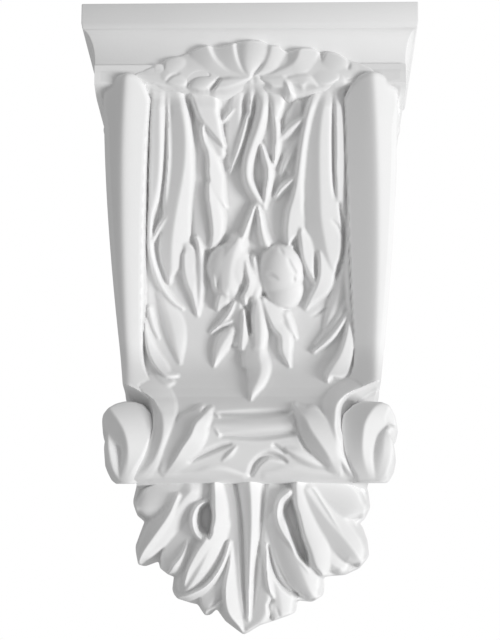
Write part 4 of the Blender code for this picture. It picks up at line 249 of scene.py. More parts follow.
class Sheet:
    """Heights over part of the front drawing, in drawing units. u runs right and v up."""

    def __init__(self, u_range, v_range, step, level):
        self.u = np.arange(u_range[0], u_range[1] + step, step)
        self.v = np.arange(v_range[0], v_range[1] + step, step)
        self.step = step
        self.grid = np.meshgrid(self.u, self.v)
        self.height = np.full(self.grid[0].shape, float(level))

    def window(self, path, reach):
        """The part of the sheet that a path reaches."""
        reach = reach + path[:, 2:4].max()
        cols = np.searchsorted(self.u, (path[:, 0].min() - reach, path[:, 0].max() + reach))
        rows = np.searchsorted(self.v, (path[:, 1].min() - reach, path[:, 1].max() + reach))
        return slice(*rows), slice(*cols)

    def blade(self, points, lift=0.0, rise=0.0, left=None, top=None, right=None,
              crest=0.0, swell=0.0, flank=FLANK):
        """Raises a leaf blade. A point is (u, v, half width). Its edges stand at left and right and its
        crest at top, or its edges at lift and its crest rise above them. crest says where the crest runs,
        from -1, the left edge, to 1, the right edge. swell rounds its slopes, and a negative one hollows
        them. Outside its edges it falls by flank for each unit."""
        top = lift + rise if top is None else top
        left = lift if left is None else left
        right = lift if right is None else right
        path = smooth_path(points)
        win = self.window(path, DRAWN_MARGIN + max(left, right, 0.0) / flank)
        away, turn, half = from_path(path, self.grid[0][win], self.grid[1][win])
        half = half[..., 0]
        across = turn * away / half
        slope = np.where(across < crest, (1 + across) / (1 + crest + TINY),
                         (1 - across) / (1 - crest + TINY))
        inside = np.clip(slope, 0, 1)
        full = np.sqrt(half / path[:, 2].max())
        floor = min(left, right)
        edge = floor + (np.where(across < crest, left, right) - floor) * full
        peak = floor + (top - floor) * full
        body = edge + (peak - edge) * (inside + swell * inside * (1 - inside))
        raised = np.where(slope >= 0, body, edge - flank * (away - half))
        self.height[win] = np.maximum(self.height[win], raised)

    def fold(self, points, left=0.4, right=0.4, swell=0.0, flank=FLANK):
        """Raises a fold along its crest. A point is (u, v, width to the left, width to the right, height).
        It slopes down by left and right for each unit across, and by flank past its edges. swell rounds
        its slopes. Left and right are those of someone going up the crest."""
        path = smooth_path(points)
        win = self.window(path, 1.0 + max(path[:, 4].max(), DRAWN_MARGIN) / flank)
        away, turn, there = from_path(path, self.grid[0][win], self.grid[1][win])
        width = np.where(turn < 0, there[..., 0], there[..., 1])
        slope = np.where(turn < 0, left, right)
        share = np.clip(away / width, 0, 1)
        fall = slope * width * (share - swell * share * (1 - share))
        raised = there[..., 2] - fall - flank * np.maximum(away - width, 0)
        self.height[win] = np.maximum(self.height[win], raised)

    def boss(self, centre, radii, lift, rise, turn=0.0):
        """Raises an oval boss, turned by some degrees. Its edge stands at lift, its top rise above it."""
        turn = math.radians(turn)
        u, v = self.grid[0] - centre[0], self.grid[1] - centre[1]
        across = (u * math.cos(turn) + v * math.sin(turn)) / radii[0]
        along = (v * math.cos(turn) - u * math.sin(turn)) / radii[1]
        inside = 1 - across ** 2 - along ** 2
        dome = lift + rise * np.sqrt(np.maximum(inside, 0))
        self.height = np.where(inside > 0, np.maximum(self.height, dome), self.height)

    def groove(self, points, depth):
        """Sinks a round-bottomed groove along a path."""
        path = smooth_path(points)
        win = self.window(path, 1.0)
        away, _, half = from_path(path, self.grid[0][win], self.grid[1][win])
        half = half[..., 0]
        full = np.sqrt(half / path[:, 2].max())
        self.height[win] -= depth * full * np.clip(1 - (away / half) ** 2, 0, 1)

    def hollow(self, points, floor, wall=FLANK):
        """Cuts a steep-sided hollow down to a level."""
        path = smooth_path(points)
        win = self.window(path, 0.5)
        away, _, half = from_path(path, self.grid[0][win], self.grid[1][win])
        half = half[..., 0]
        here = self.height[win]
        cut = np.maximum(floor, here - wall * (half - away))
        self.height[win] = np.minimum(here, np.where(away < half, cut, here))

    def keep_within(self, *outlines):
        """Lets everything outside closed outlines fall away steeply."""
        u, v = self.grid
        limit = np.full(u.shape, -np.inf)
        for outline in outlines:
            inside = np.zeros(u.shape, bool)
            away = np.full(u.shape, np.inf)
            for (u0, v0), (u1, v1) in zip(outline, outline[1:] + outline[:1]):
                crosses = (v0 > v) != (v1 > v)
                meet = u0 + (v - v0) * (u1 - u0) / (v1 - v0 + TINY)
                inside ^= crosses & (u < meet)
                du, dv = u1 - u0, v1 - v0
                share = np.clip(((u - u0) * du + (v - v0) * dv) / (du * du + dv * dv), 0, 1)
                away = np.minimum(away, np.hypot(u - u0 - share * du, v - v0 - share * dv))
            limit = np.maximum(limit, np.where(inside, away, -away))
        self.height = np.minimum(self.height, OUTER_WALL * limit + self.height.max() * RIM)

    def soften(self, rounds):
        """Rounds every edge a little, as a cast's are."""
        for _ in range(rounds):
            for axis in (0, 1):
                size = self.height.shape[axis]
                edged = np.pad(self.height, [(1, 1) if axis == k else (0, 0) for k in (0, 1)], mode="edge")
                low, mid, high = (np.take(edged, range(k, k + size), axis) for k in range(3))
                self.height = (low + 2 * mid + high) / 4

    def at(self, u, v):
        """The height at any points of the drawing. Points past its edge take the edge's height."""
        x = np.clip((u - self.u[0]) / self.step, 0, len(self.u) - 1.001)
        y = np.clip((v - self.v[0]) / self.step, 0, len(self.v) - 1.001)
        i, j = x.astype(int), y.astype(int)
        fx, fy = x - i, y - j
        h = self.height
        return ((h[j, i] * (1 - fx) + h[j, i + 1] * fx) * (1 - fy)
                + (h[j + 1, i] * (1 - fx) + h[j + 1, i + 1] * fx) * fy)


def smooth_path(points):
    """A smooth curve through points of u, v, widths and height."""
    p = np.array(points, float)
    p = np.vstack([2 * p[0] - p[1], p, 2 * p[-1] - p[-2]])
    curve = []
    for a, b, c, d in zip(p, p[1:], p[2:], p[3:]):
        for t in np.arange(PATH_STEPS) / PATH_STEPS:
            curve.append(b + 0.5 * ((c - a) * t + (2 * a - 5 * b + 4 * c - d) * t ** 2
                                    + (3 * b - a - 3 * c + d) * t ** 3))
    curve = np.array(curve + [p[-2]])
    curve[:, 2:4] = np.maximum(curve[:, 2:4], NARROWEST)
    return curve


def from_path(path, u, v):
    """How far points lie from a path, on which side of it (-1 left, 1 right), and what it carries there."""
    nearest = np.full(u.shape, np.inf)
    turn = np.zeros(u.shape)
    there = np.ones(u.shape + (path.shape[1] - 2,))
    for a, b in zip(path, path[1:]):
        du, dv = b[:2] - a[:2]
        share = np.clip(((u - a[0]) * du + (v - a[1]) * dv) / (du * du + dv * dv + TINY), 0, 1)
        distance = np.hypot(u - a[0] - share * du, v - a[1] - share * dv)
        closer = distance < nearest
        nearest = np.where(closer, distance, nearest)
        turn = np.where(closer, dv * (u - a[0]) - du * (v - a[1]), turn)
        there = np.where(closer[..., None], a[2:] + share[..., None] * (b[2:] - a[2:]), there)
    runs_up = 1.0 if path[-1, 1] > path[0, 1] else -1.0
    return nearest, np.sign(turn) * runs_up, there


def blades(s, rows, flank=FLANK):
    """Raises leaf blades in turn. A row is a blade's left, top, right, crest and swell, then its points."""
    for left, top, right, crest, swell, *points in rows:
        s.blade(points, left=left, top=top, right=right, crest=crest, swell=swell, flank=flank)


def folds(s, rows):
    """Raises folds in turn. A row is a fold's left and right slopes and its swell, then its points."""
    for left, right, swell, *points in rows:
        s.fold(points, left=left, right=right, swell=swell)


def carve_side_leaves(s):
    """The long acanthus leaves on each side of the front."""
    carve_left_leaves(s)
    carve_right_leaves(s)


def carve_left_leaves(s):
    # ground leaf between the long leaf and the curled ones
    s.blade([(-25.6, 262, 2.4), (-25.2, 246, 3.2), (-25.0, 230, 3.6), (-24.6, 215, 4.4), (-24.2, 203, 4.4),
             (-22.8, 197, 2.6)],
            rise=1.0, crest=0.3, swell=0.5, lift=2.6)
    # outer stem beside the bar, which thins out and swings inward at its foot
    folds(s, [
        (0.22, 0.75, 0, (-45.0, 286, 3.4, 1.4, 6.6), (-45.2, 262, 4.8, 2.2, 8.2),
         (-45.2, 245, 5.0, 2.4, 8.2), (-46.0, 230, 4.6, 2.2, 7.4), (-48.2, 218, 2.6, 1.6, 6.2),
         (-50.1, 208, 1.4, 1.3, 5.2), (-50.4, 196, 1.2, 1.3, 4.6), (-48.6, 186, 1.0, 1.3, 4.2),
         (-45.0, 176.6, 1.0, 1.3, 3.9), (-40.0, 169.4, 0.9, 1.4, 3.4), (-34.2, 164.6, 0.3, 0.5, 2.2)),
        # the long leaf
        (0.42, 0.62, 0.15, (-41.0, 286, 2.6, 1.0, 6.6), (-35.0, 267.5, 5.0, 2.0, 8.4),
         (-32.9, 258, 7.0, 2.2, 9.2), (-32.2, 248, 8.2, 3.0, 9.4), (-32.6, 238, 8.2, 3.8, 9.2),
         (-34.0, 228, 7.4, 5.0, 8.8), (-36.0, 218, 6.2, 6.0, 8.2), (-37.8, 208, 6.0, 7.6, 7.6),
         (-39.0, 199, 6.4, 8.8, 7.0), (-39.4, 191, 5.8, 8.6, 6.2), (-39.6, 184.5, 3.8, 6.0, 5.0),
         (-40.8, 178, 0.6, 0.6, 3.0)),
        (0.8, 0.34, 0, (-33.4, 192, 0.5, 6.0, 5.8), (-33.2, 185, 0.6, 5.4, 5.6),
         (-31.8, 178, 0.6, 4.4, 5.2), (-29.2, 171.2, 0.4, 1.8, 4.6), (-27.0, 161.8, 0.2, 0.4, 2.4)),
        (1.5, 0.75, 0, (-42.0, 282, 0.6, 1.2, 6.2), (-41.7, 258, 0.6, 1.7, 7.4),
         (-41.6, 244, 0.7, 1.8, 7.8), (-41.9, 232, 0.6, 1.9, 7.4), (-42.8, 221, 0.6, 1.6, 6.6),
         (-43.0, 213, 0.3, 0.6, 4.6))])
    s.groove([(-42.3, 266, 0.3), (-42.4, 250, 0.8), (-42.8, 239, 0.9), (-43.5, 231, 0.8),
              (-44.6, 222.5, 0.3)],
             depth=3.4)
    s.fold([(-40.0, 214, 0.5, 0.4, 6.0), (-43.2, 208.6, 1.2, 0.6, 6.4), (-46.2, 204, 1.2, 0.6, 6.0),
            (-49.0, 198.8, 0.4, 0.3, 4.6)],
           left=0.5, right=1.6)
    s.hollow([(-46.2, 218, 0.4), (-47.4, 212, 1.5), (-48.2, 206.6, 1.0), (-48.6, 202.4, 0.3)], floor=1.4)
    s.hollow([(-36.4, 184.2, 0.5), (-37.2, 178.5, 3.0), (-35.4, 172.5, 2.6), (-32.4, 167.5, 0.5)],
             floor=0.6, wall=3.0)
    # the leaf under the crest, its torn tip and the fold below it
    s.blade([(-21.6, 255, 1.6), (-18.0, 249, 3.6), (-15.2, 243, 2.2)], rise=0.6, crest=0.3, lift=4.6)
    folds(s, [
        (1.0, 0.16, 0.2, (-34.0, 286, 0.6, 11.6, 7.4), (-28.2, 269, 0.6, 11.0, 8.2),
         (-25.0, 260.8, 0.6, 9.6, 8.6), (-20.6, 255, 0.5, 6.4, 8.4), (-16.4, 250, 0.4, 2.6, 7.8),
         (-13.6, 246.2, 0.2, 0.3, 7.0)),
        (1.0, 0.6, 0, (-13.6, 259.6, 0.3, 0.8, 4.6), (-11.0, 262.4, 0.4, 0.9, 4.8),
         (-8.6, 265, 0.2, 0.3, 4.6)),
        # two curled leaves with a sharp outer edge
        (1.0, 0.52, 0.2, (-23.5, 259.4, 0.4, 0.5, 7.8), (-24.3, 254, 0.5, 1.1, 8.4),
         (-23.3, 248.4, 0.5, 1.6, 8.4), (-21.4, 243.6, 0.5, 2.6, 8.2), (-20.7, 238, 0.5, 5.4, 8.0),
         (-20.7, 232, 0.5, 7.0, 7.6), (-19.2, 226, 0.5, 6.4, 6.8), (-16.6, 221, 0.5, 4.0, 5.8),
         (-12.8, 216, 0.2, 0.4, 4.2)),
        (1.0, 0.55, 0.25, (-21.0, 227.8, 0.3, 0.5, 7.6), (-21.0, 222, 0.4, 2.8, 8.0),
         (-20.1, 215, 0.4, 5.4, 8.2), (-19.2, 208, 0.4, 5.8, 8.0), (-18.9, 202, 0.4, 4.8, 7.2),
         (-19.5, 197.6, 0.4, 2.8, 6.2), (-20.3, 195.4, 0.2, 0.5, 5.2))])
    # the low leaf beside the bud
    s.fold([(-27.2, 200.6, 0.2, 0.3, 4.8), (-25.8, 196, 0.5, 1.2, 5.8), (-25.0, 190, 1.8, 1.6, 5.2),
            (-24.8, 182, 2.4, 1.6, 4.6), (-25.2, 174, 2.0, 1.6, 3.8), (-26.0, 167, 1.0, 1.2, 2.8),
            (-26.6, 161.4, 0.3, 0.3, 1.8)],
           left=0.55, right=0.7, flank=2.5)
    # fronds that curl in along the foot of the bar
    s.fold([(-44.6, 172, 2.4, 2.0, 1.8), (-42.2, 165, 3.0, 4.6, 2.4), (-39.4, 156, 3.6, 6.2, 2.8),
            (-37.4, 147, 2.4, 4.2, 2.6), (-35.6, 137.6, 0.5, 0.6, 1.2)],
           left=0.30, right=0.36, swell=0.5, flank=1.2)
    s.fold([(-51.0, 165, 1.0, 0.8, 2.6), (-49.2, 157, 1.2, 1.0, 2.4), (-46.4, 150, 0.4, 0.4, 1.2)],
           left=0.6, right=0.6, flank=2.0)
    s.fold([(-53.4, 159, 0.4, 0.5, 4.0), (-52.6, 150.6, 0.6, 2.2, 5.0), (-50.8, 142.6, 0.8, 3.8, 5.4),
            (-47.4, 136, 0.9, 4.8, 5.2), (-42.4, 131.4, 0.9, 3.2, 4.4), (-37.0, 131.0, 0.3, 0.5, 3.0)],
           left=1.0, right=0.62, swell=0.2)
    s.blade([(-47.0, 131, 1.6), (-43.0, 127.4, 2.4), (-39.6, 127.8, 1.2)], rise=1.2, swell=0.6, lift=1.0,
            flank=2.0)


def carve_right_leaves(s):
    # ground between the thorns
    s.blade([(24.0, 268, 2.0), (21.5, 258, 4.2), (20.6, 247, 4.4), (20.4, 237, 3.2), (21.0, 230, 1.0)],
            rise=1.0, crest=0.5, swell=0.5, lift=2.2)
    # outer strip beside the bar
    folds(s, [
        (0.5, 0.35, 0, (47.8, 222, 1.0, 1.2, 5.0), (48.7, 208, 1.2, 1.2, 5.0), (48.4, 194, 1.8, 1.6, 4.6),
         (46.8, 182, 2.8, 2.4, 4.2), (44.2, 172, 3.0, 3.4, 3.8), (41.0, 163, 2.4, 4.0, 3.0),
         (37.4, 155, 0.6, 2.0, 1.8)),
        (0.5, 0.5, 0, (49.2, 214, 0.5, 1.4, 5.2), (49.4, 201, 1.0, 2.2, 6.6), (49.8, 188, 1.6, 2.6, 7.4),
         (50.2, 176, 1.8, 2.8, 7.6), (50.6, 166, 1.4, 2.8, 7.0), (51.4, 156, 0.8, 2.4, 5.6),
         (52.2, 147, 0.3, 0.6, 3.6)),
        (1.2, 0.34, 0, (42.9, 286, 0.5, 4.2, 7.0), (42.4, 263, 0.5, 5.0, 8.6), (42.3, 250, 0.5, 5.4, 8.8),
         (42.5, 238, 0.5, 5.6, 8.6), (43.2, 226, 0.6, 5.0, 7.8), (44.2, 216, 0.6, 3.4, 6.8),
         (45.2, 207, 0.4, 1.4, 6.0)),
        # the long leaf, its inner rim and its hooked foot
        (0.46, 0.28, 0.1, (42.0, 286, 3.0, 1.2, 6.8), (37.8, 268.6, 4.6, 3.2, 8.6),
         (36.0, 260, 5.8, 4.8, 9.2), (35.1, 250, 6.8, 6.0, 9.4), (34.9, 240, 7.4, 6.3, 9.4),
         (35.0, 230, 7.8, 6.6, 9.2), (35.3, 220, 8.2, 8.2, 8.8), (35.8, 210, 8.6, 10.0, 8.4),
         (37.2, 201, 7.6, 9.2, 7.8), (38.8, 193, 6.2, 7.4, 7.0), (40.6, 187, 4.0, 4.0, 6.0),
         (42.4, 183.8, 0.6, 0.6, 4.8)),
        (1.0, 0.34, 0.2, (38.4, 286, 1.6, 2.4, 8.4), (31.4, 269.4, 1.2, 2.2, 9.0),
         (28.9, 262, 1.0, 2.0, 9.2), (27.3, 255, 1.0, 2.0, 9.2), (25.9, 247, 1.0, 2.0, 9.0),
         (24.7, 238, 1.0, 2.2, 8.8), (23.6, 229, 1.0, 2.6, 8.4), (22.0, 221, 1.0, 4.4, 8.0),
         (20.0, 214, 1.2, 6.6, 7.6), (18.9, 206, 1.2, 8.2, 7.0), (18.9, 200, 1.0, 7.4, 6.4),
         (19.5, 196.6, 0.6, 2.0, 5.6))])
    s.hollow([(19.4, 196.2, 0.4), (22.4, 198.4, 1.7), (24.8, 199.6, 2.0), (25.6, 195, 1.6),
              (25.4, 190.0, 0.4)],
             floor=0.0, wall=5.0)
    s.fold([(25.0, 203.2, 0.4, 2.4, 6.8), (25.6, 198, 0.4, 5.0, 7.2), (26.6, 191, 0.5, 5.4, 7.0),
            (28.8, 185, 0.6, 4.2, 6.4), (31.6, 179.6, 0.5, 2.0, 5.4), (33.4, 175.8, 0.2, 0.4, 4.4)],
           left=1.2, right=0.40)
    s.groove([(42.1, 267, 0.3), (41.7, 252, 0.8), (41.8, 238, 0.8), (42.1, 228, 0.7), (42.5, 221, 0.3)],
             depth=4.5)
    s.groove([(44.5, 218, 0.5), (46.0, 211, 0.8), (47.0, 204, 0.8), (46.8, 195, 0.8), (45.4, 187, 0.9),
              (41.8, 178.2, 0.9), (36.6, 172, 0.9), (30.2, 166.6, 0.5)],
             depth=4.0)
    s.groove([(41, 209.4, 0.3), (44.2, 205.8, 0.6), (46.4, 201.8, 0.4)], depth=1.6)
    s.hollow([(32.8, 190, 0.5), (33.2, 184, 1.2), (33.9, 177.4, 0.5)], floor=1.6)
    folds(s, [
        (1.2, 0.42, 0.3, (34.6, 193.4, 0.3, 0.5, 6.6), (35.0, 187.6, 0.4, 6.0, 7.2),
         (34.9, 181.4, 0.5, 7.4, 7.2), (33.4, 176, 0.5, 6.6, 6.6), (30.8, 170.8, 0.5, 3.8, 5.4),
         (28.0, 165.0, 0.2, 0.4, 3.6)),
        # thorns between the rim and the ribbons
        (0.6, 0.7, 0, (27.6, 260.6, 0.8, 0.6, 7.6), (22.4, 257.0, 1.3, 1.6, 7.8),
         (17.8, 253.0, 1.3, 2.0, 7.2), (14.4, 249.0, 0.4, 0.4, 6.0)),
        (0.5, 0.7, 0, (24.6, 250, 1.6, 0.8, 4.8), (20.6, 243, 2.4, 1.2, 5.0), (17.4, 236.8, 1.6, 1.0, 4.4),
         (15.6, 232.6, 0.4, 0.4, 3.0)),
        (0.6, 0.7, 0, (23.3, 231, 0.6, 0.5, 7.2), (19.4, 228.2, 1.0, 0.9, 7.0),
         (15.8, 225.2, 1.0, 0.9, 6.4), (13.0, 221.4, 0.3, 0.3, 5.0))])
    # lower fronds that curl in along the foot of the bar
    s.fold([(48.6, 168, 1.6, 1.2, 4.0), (45.0, 160.6, 1.8, 1.6, 4.0), (40.4, 153.6, 1.8, 1.6, 3.6),
            (33.2, 146.8, 0.4, 0.4, 2.0)],
           left=0.4, right=0.8, flank=2.0)
    folds(s, [
        (0.6, 1.0, 0, (49.6, 163.6, 0.8, 0.4, 5.4), (45.4, 156.4, 1.2, 1.0, 5.8),
         (40.0, 149.6, 1.3, 1.2, 5.4), (32.2, 143.0, 0.4, 0.4, 3.6)),
        (1.0, 0.46, 0.3, (50.2, 168, 0.6, 0.8, 4.6), (49.4, 158.6, 0.6, 2.4, 5.8),
         (48.0, 150, 0.6, 4.4, 6.4), (45.4, 142, 0.8, 6.4, 6.4), (41.6, 135.6, 0.9, 8.0, 5.8),
         (39.0, 131.4, 0.8, 4.0, 4.6), (38.8, 128.8, 0.5, 0.8, 3.4))])
    s.groove([(39.2, 165.2, 0.5), (35.5, 163, 0.8), (30.8, 160.6, 0.3)], depth=1.6)


def carve_centre(s):
    """The hanging ribbons, the two buds and their leaves."""
    # ribbons that hang under the flower
    s.blade([(-6.5, 272, 2.4), (-8.0, 258, 3.8), (-9.0, 247, 2.8), (-10.2, 238, 0.6)],
            rise=1.0, crest=0.6, swell=0.5, lift=2.8)
    folds(s, [
        (0.9, 0.9, 0, (-1.4, 262, 0.6, 0.8, 5.6), (-3.6, 253, 1.4, 1.0, 6.2), (-6.4, 244, 1.2, 1.0, 5.8),
         (-10.2, 234, 0.3, 0.3, 3.6)),
        (0.9, 0.9, 0, (0.0, 281, 0.4, 0.4, 6.4), (0.2, 271, 0.8, 0.8, 6.4), (-0.6, 262, 0.6, 0.6, 5.8)),
        (0.8, 0.75, 0.3, (2.6, 283, 0.6, 0.6, 7.0), (6.0, 273, 2.4, 2.0, 8.4), (6.4, 265, 3.0, 2.4, 8.8),
         (4.4, 256, 3.0, 2.8, 8.6), (1.2, 247, 2.8, 2.6, 8.2), (-1.2, 239, 2.2, 2.4, 7.8),
         (-1.6, 231, 1.6, 2.2, 7.4), (0.8, 224.6, 1.6, 2.0, 7.0), (4.0, 219.6, 1.4, 1.6, 6.2),
         (7.2, 215.6, 0.3, 0.3, 4.6)),
        (1.0, 0.7, 0, (5.6, 247, 0.3, 0.5, 7.2), (7.2, 240.6, 0.5, 1.6, 7.8), (8.7, 235, 0.5, 2.2, 8.0),
         (8.6, 229, 0.5, 2.2, 7.8), (7.6, 223, 0.6, 2.0, 7.2), (7.0, 216, 0.3, 0.3, 5.0))])
    s.hollow([(3.6, 240, 0.4), (4.8, 233, 2.6), (6.4, 225.4, 0.5)], floor=2.6, wall=3.0)
    folds(s, [
        (0.5, 0.45, 0.4, (8.4, 283, 1.2, 2.6, 7.4), (11.6, 272, 2.0, 4.2, 8.0),
         (12.4, 266.6, 2.0, 3.8, 8.0), (13.0, 262, 0.8, 1.6, 7.4)),
        (1.0, 0.6, 0.2, (10.9, 266, 0.3, 0.6, 7.4), (12.3, 258, 0.5, 2.0, 7.8),
         (12.7, 250.6, 0.5, 2.4, 7.8), (12.3, 244, 0.5, 2.2, 7.4), (11.9, 237.4, 0.3, 0.3, 6.0))])
    s.blade([(9.0, 262, 1.8), (9.4, 252, 2.8), (10.0, 244, 1.8)], rise=0.6, crest=-0.2, swell=0.5, lift=3.4)
    # the two stalks, and the buds that they carry
    folds(s, [
        (1.0, 0.7, 0, (3.0, 219, 0.2, 0.3, 5.0), (-0.2, 210.6, 0.6, 0.9, 6.0), (-3.0, 203, 0.7, 1.3, 7.0),
         (-5.6, 196, 1.0, 1.8, 8.0)),
        (1.0, 0.6, 0, (3.5, 218, 0.2, 0.3, 5.0), (4.6, 210.6, 0.5, 1.2, 6.0), (5.6, 203, 0.6, 2.0, 6.8),
         (7.4, 197.4, 1.2, 2.2, 7.0))])
    s.boss((-10.4, 185.6), (11.8, 12.4), lift=2.0, rise=8.2)
    s.fold([(-5.8, 198.4, 1.6, 1.8, 8.6), (-8.2, 191.6, 4.0, 5.0, 10.2), (-9.8, 184, 5.0, 5.6, 10.8),
            (-10.6, 175.6, 4.4, 4.6, 9.6)],
           left=0.24, right=0.66, swell=0.5, flank=2.0)
    s.fold([(-18.2, 188.6, 0.3, 0.3, 6.0), (-18.6, 181, 0.4, 1.6, 8.2), (-17.6, 175.6, 0.4, 1.2, 7.6),
            (-16.4, 173.2, 0.2, 0.3, 6.6)],
           left=1.0, right=0.8)
    s.boss((15.2, 183.2), (11.6, 14.2), lift=1.8, rise=10.4)
    s.boss((17.0, 174.4), (9.6, 9.6), lift=1.6, rise=8.4)
    s.groove([(7.6, 181.6, 0.8), (10.4, 181.2, 1.6), (13.4, 179.4, 0.8)], depth=1.0)
    s.blade([(1.6, 190, 1.0), (2.8, 182, 2.2), (3.2, 174, 2.2), (1.6, 169, 0.8)],
            rise=1.2, crest=-0.2, swell=0.5, lift=6.4)
    s.fold([(-2.2, 188, 0.2, 0.6, 9.2), (-1.8, 182.6, 0.4, 3.0, 10.0), (-0.9, 178.4, 0.4, 3.6, 10.0),
            (-1.6, 174.6, 0.4, 3.4, 9.6), (-3.3, 171, 0.4, 3.0, 8.8), (-2.8, 167.8, 0.4, 0.8, 7.6)],
           left=1.0, right=0.55, swell=0.4)
    s.hollow([(-2.4, 182.0, 0.3), (-2.5, 177.6, 1.3), (-3.8, 173.0, 0.5)], floor=5.6)
    s.groove([(19.0, 189.6, 0.4), (20.6, 186.0, 0.7), (22.2, 183.4, 0.8), (22.6, 182.6, 0.6)], depth=1.8)
    s.groove([(22.0, 181, 0.4), (22.0, 179.4, 0.8), (21.8, 178.2, 0.4)], depth=2.2)
    s.groove([(14.6, 195.4, 0.4), (15.7, 193.6, 0.6), (16.6, 191.8, 0.3)], depth=1.2)
    # calyx and small leaves under the buds
    s.fold([(-10.6, 174.6, 1.6, 2.4, 8.0), (-14.4, 172.4, 0.8, 4.6, 7.6), (-16.2, 168.4, 0.5, 4.4, 6.0),
            (-16.8, 165.0, 0.2, 0.8, 4.2)],
           left=1.0, right=0.40, swell=0.3)
    s.blade([(-7.4, 171, 3.0), (-7.0, 164, 3.4), (-6.8, 156, 3.4), (-6.8, 148, 2.0)],
            rise=2.4, crest=0.7, swell=0.3, lift=1.6, flank=2.0)
    folds(s, [
        (0.8, 0.8, 0, (-7.8, 168.6, 0.4, 0.4, 4.4), (-10.8, 162, 0.7, 1.0, 4.4),
         (-14.8, 157.2, 0.7, 1.0, 4.0), (-20.0, 152.6, 0.3, 0.3, 2.6)),
        (0.8, 0.8, 0, (-9.6, 158.6, 0.4, 0.6, 4.4), (-13.0, 157.2, 0.5, 0.8, 4.2),
         (-16.4, 155.8, 0.2, 0.4, 3.4)),
        (0.30, 0.62, 0, (-9.4, 153.4, 2.2, 2.0, 4.6), (-12.8, 148.2, 4.2, 3.2, 4.8),
         (-15.8, 142.8, 2.8, 2.2, 4.0), (-18.4, 135.8, 0.3, 0.3, 2.0)),
        (1.0, 0.6, 0, (-3.6, 164, 0.3, 0.3, 5.8), (-3.8, 157, 0.5, 1.6, 6.6), (-4.2, 150.6, 0.5, 3.0, 6.4),
         (-4.8, 145.0, 0.3, 1.6, 5.0)),
        (0.22, 0.80, 0.2, (4.2, 169, 2.0, 0.8, 7.4), (5.2, 161, 4.0, 2.2, 7.4), (5.5, 153, 4.4, 2.8, 7.0),
         (5.2, 146, 4.2, 2.2, 6.4))])
    s.groove([(-1.4, 163.4, 0.6), (-0.4, 156, 1.2), (1.0, 146.4, 0.8)], depth=3.0)
    folds(s, [
        (1.0, 0.42, 0.3, (6.2, 168.4, 0.6, 2.0, 6.8), (9.0, 161.4, 0.8, 7.4, 7.4),
         (12.0, 155.6, 0.9, 6.8, 6.8), (15.6, 151, 1.0, 4.8, 6.0), (16.0, 144, 0.7, 4.6, 4.8),
         (18.0, 139.0, 0.5, 2.4, 3.8), (19.8, 135.6, 0.2, 0.4, 2.4)),
        (0.6, 0.6, 0, (17.6, 161.4, 0.8, 1.8, 5.0), (19.8, 156, 1.0, 2.0, 4.6),
         (23.0, 150.0, 0.3, 0.3, 2.6))])
    s.groove([(15.8, 158.6, 0.3), (18.2, 155, 0.5), (20.2, 151.8, 0.4)], depth=1.2)
    s.fold([(5.2, 146.6, 7.0, 1.8, 5.8), (4.8, 140.6, 8.6, 3.4, 6.2), (5.8, 134.6, 8.6, 3.8, 6.2),
            (4.0, 128.4, 5.2, 3.4, 5.2), (1.6, 123.4, 2.4, 2.0, 4.0), (0.2, 119.0, 0.4, 0.4, 2.2)],
           left=0.30, right=0.85, swell=0.3)


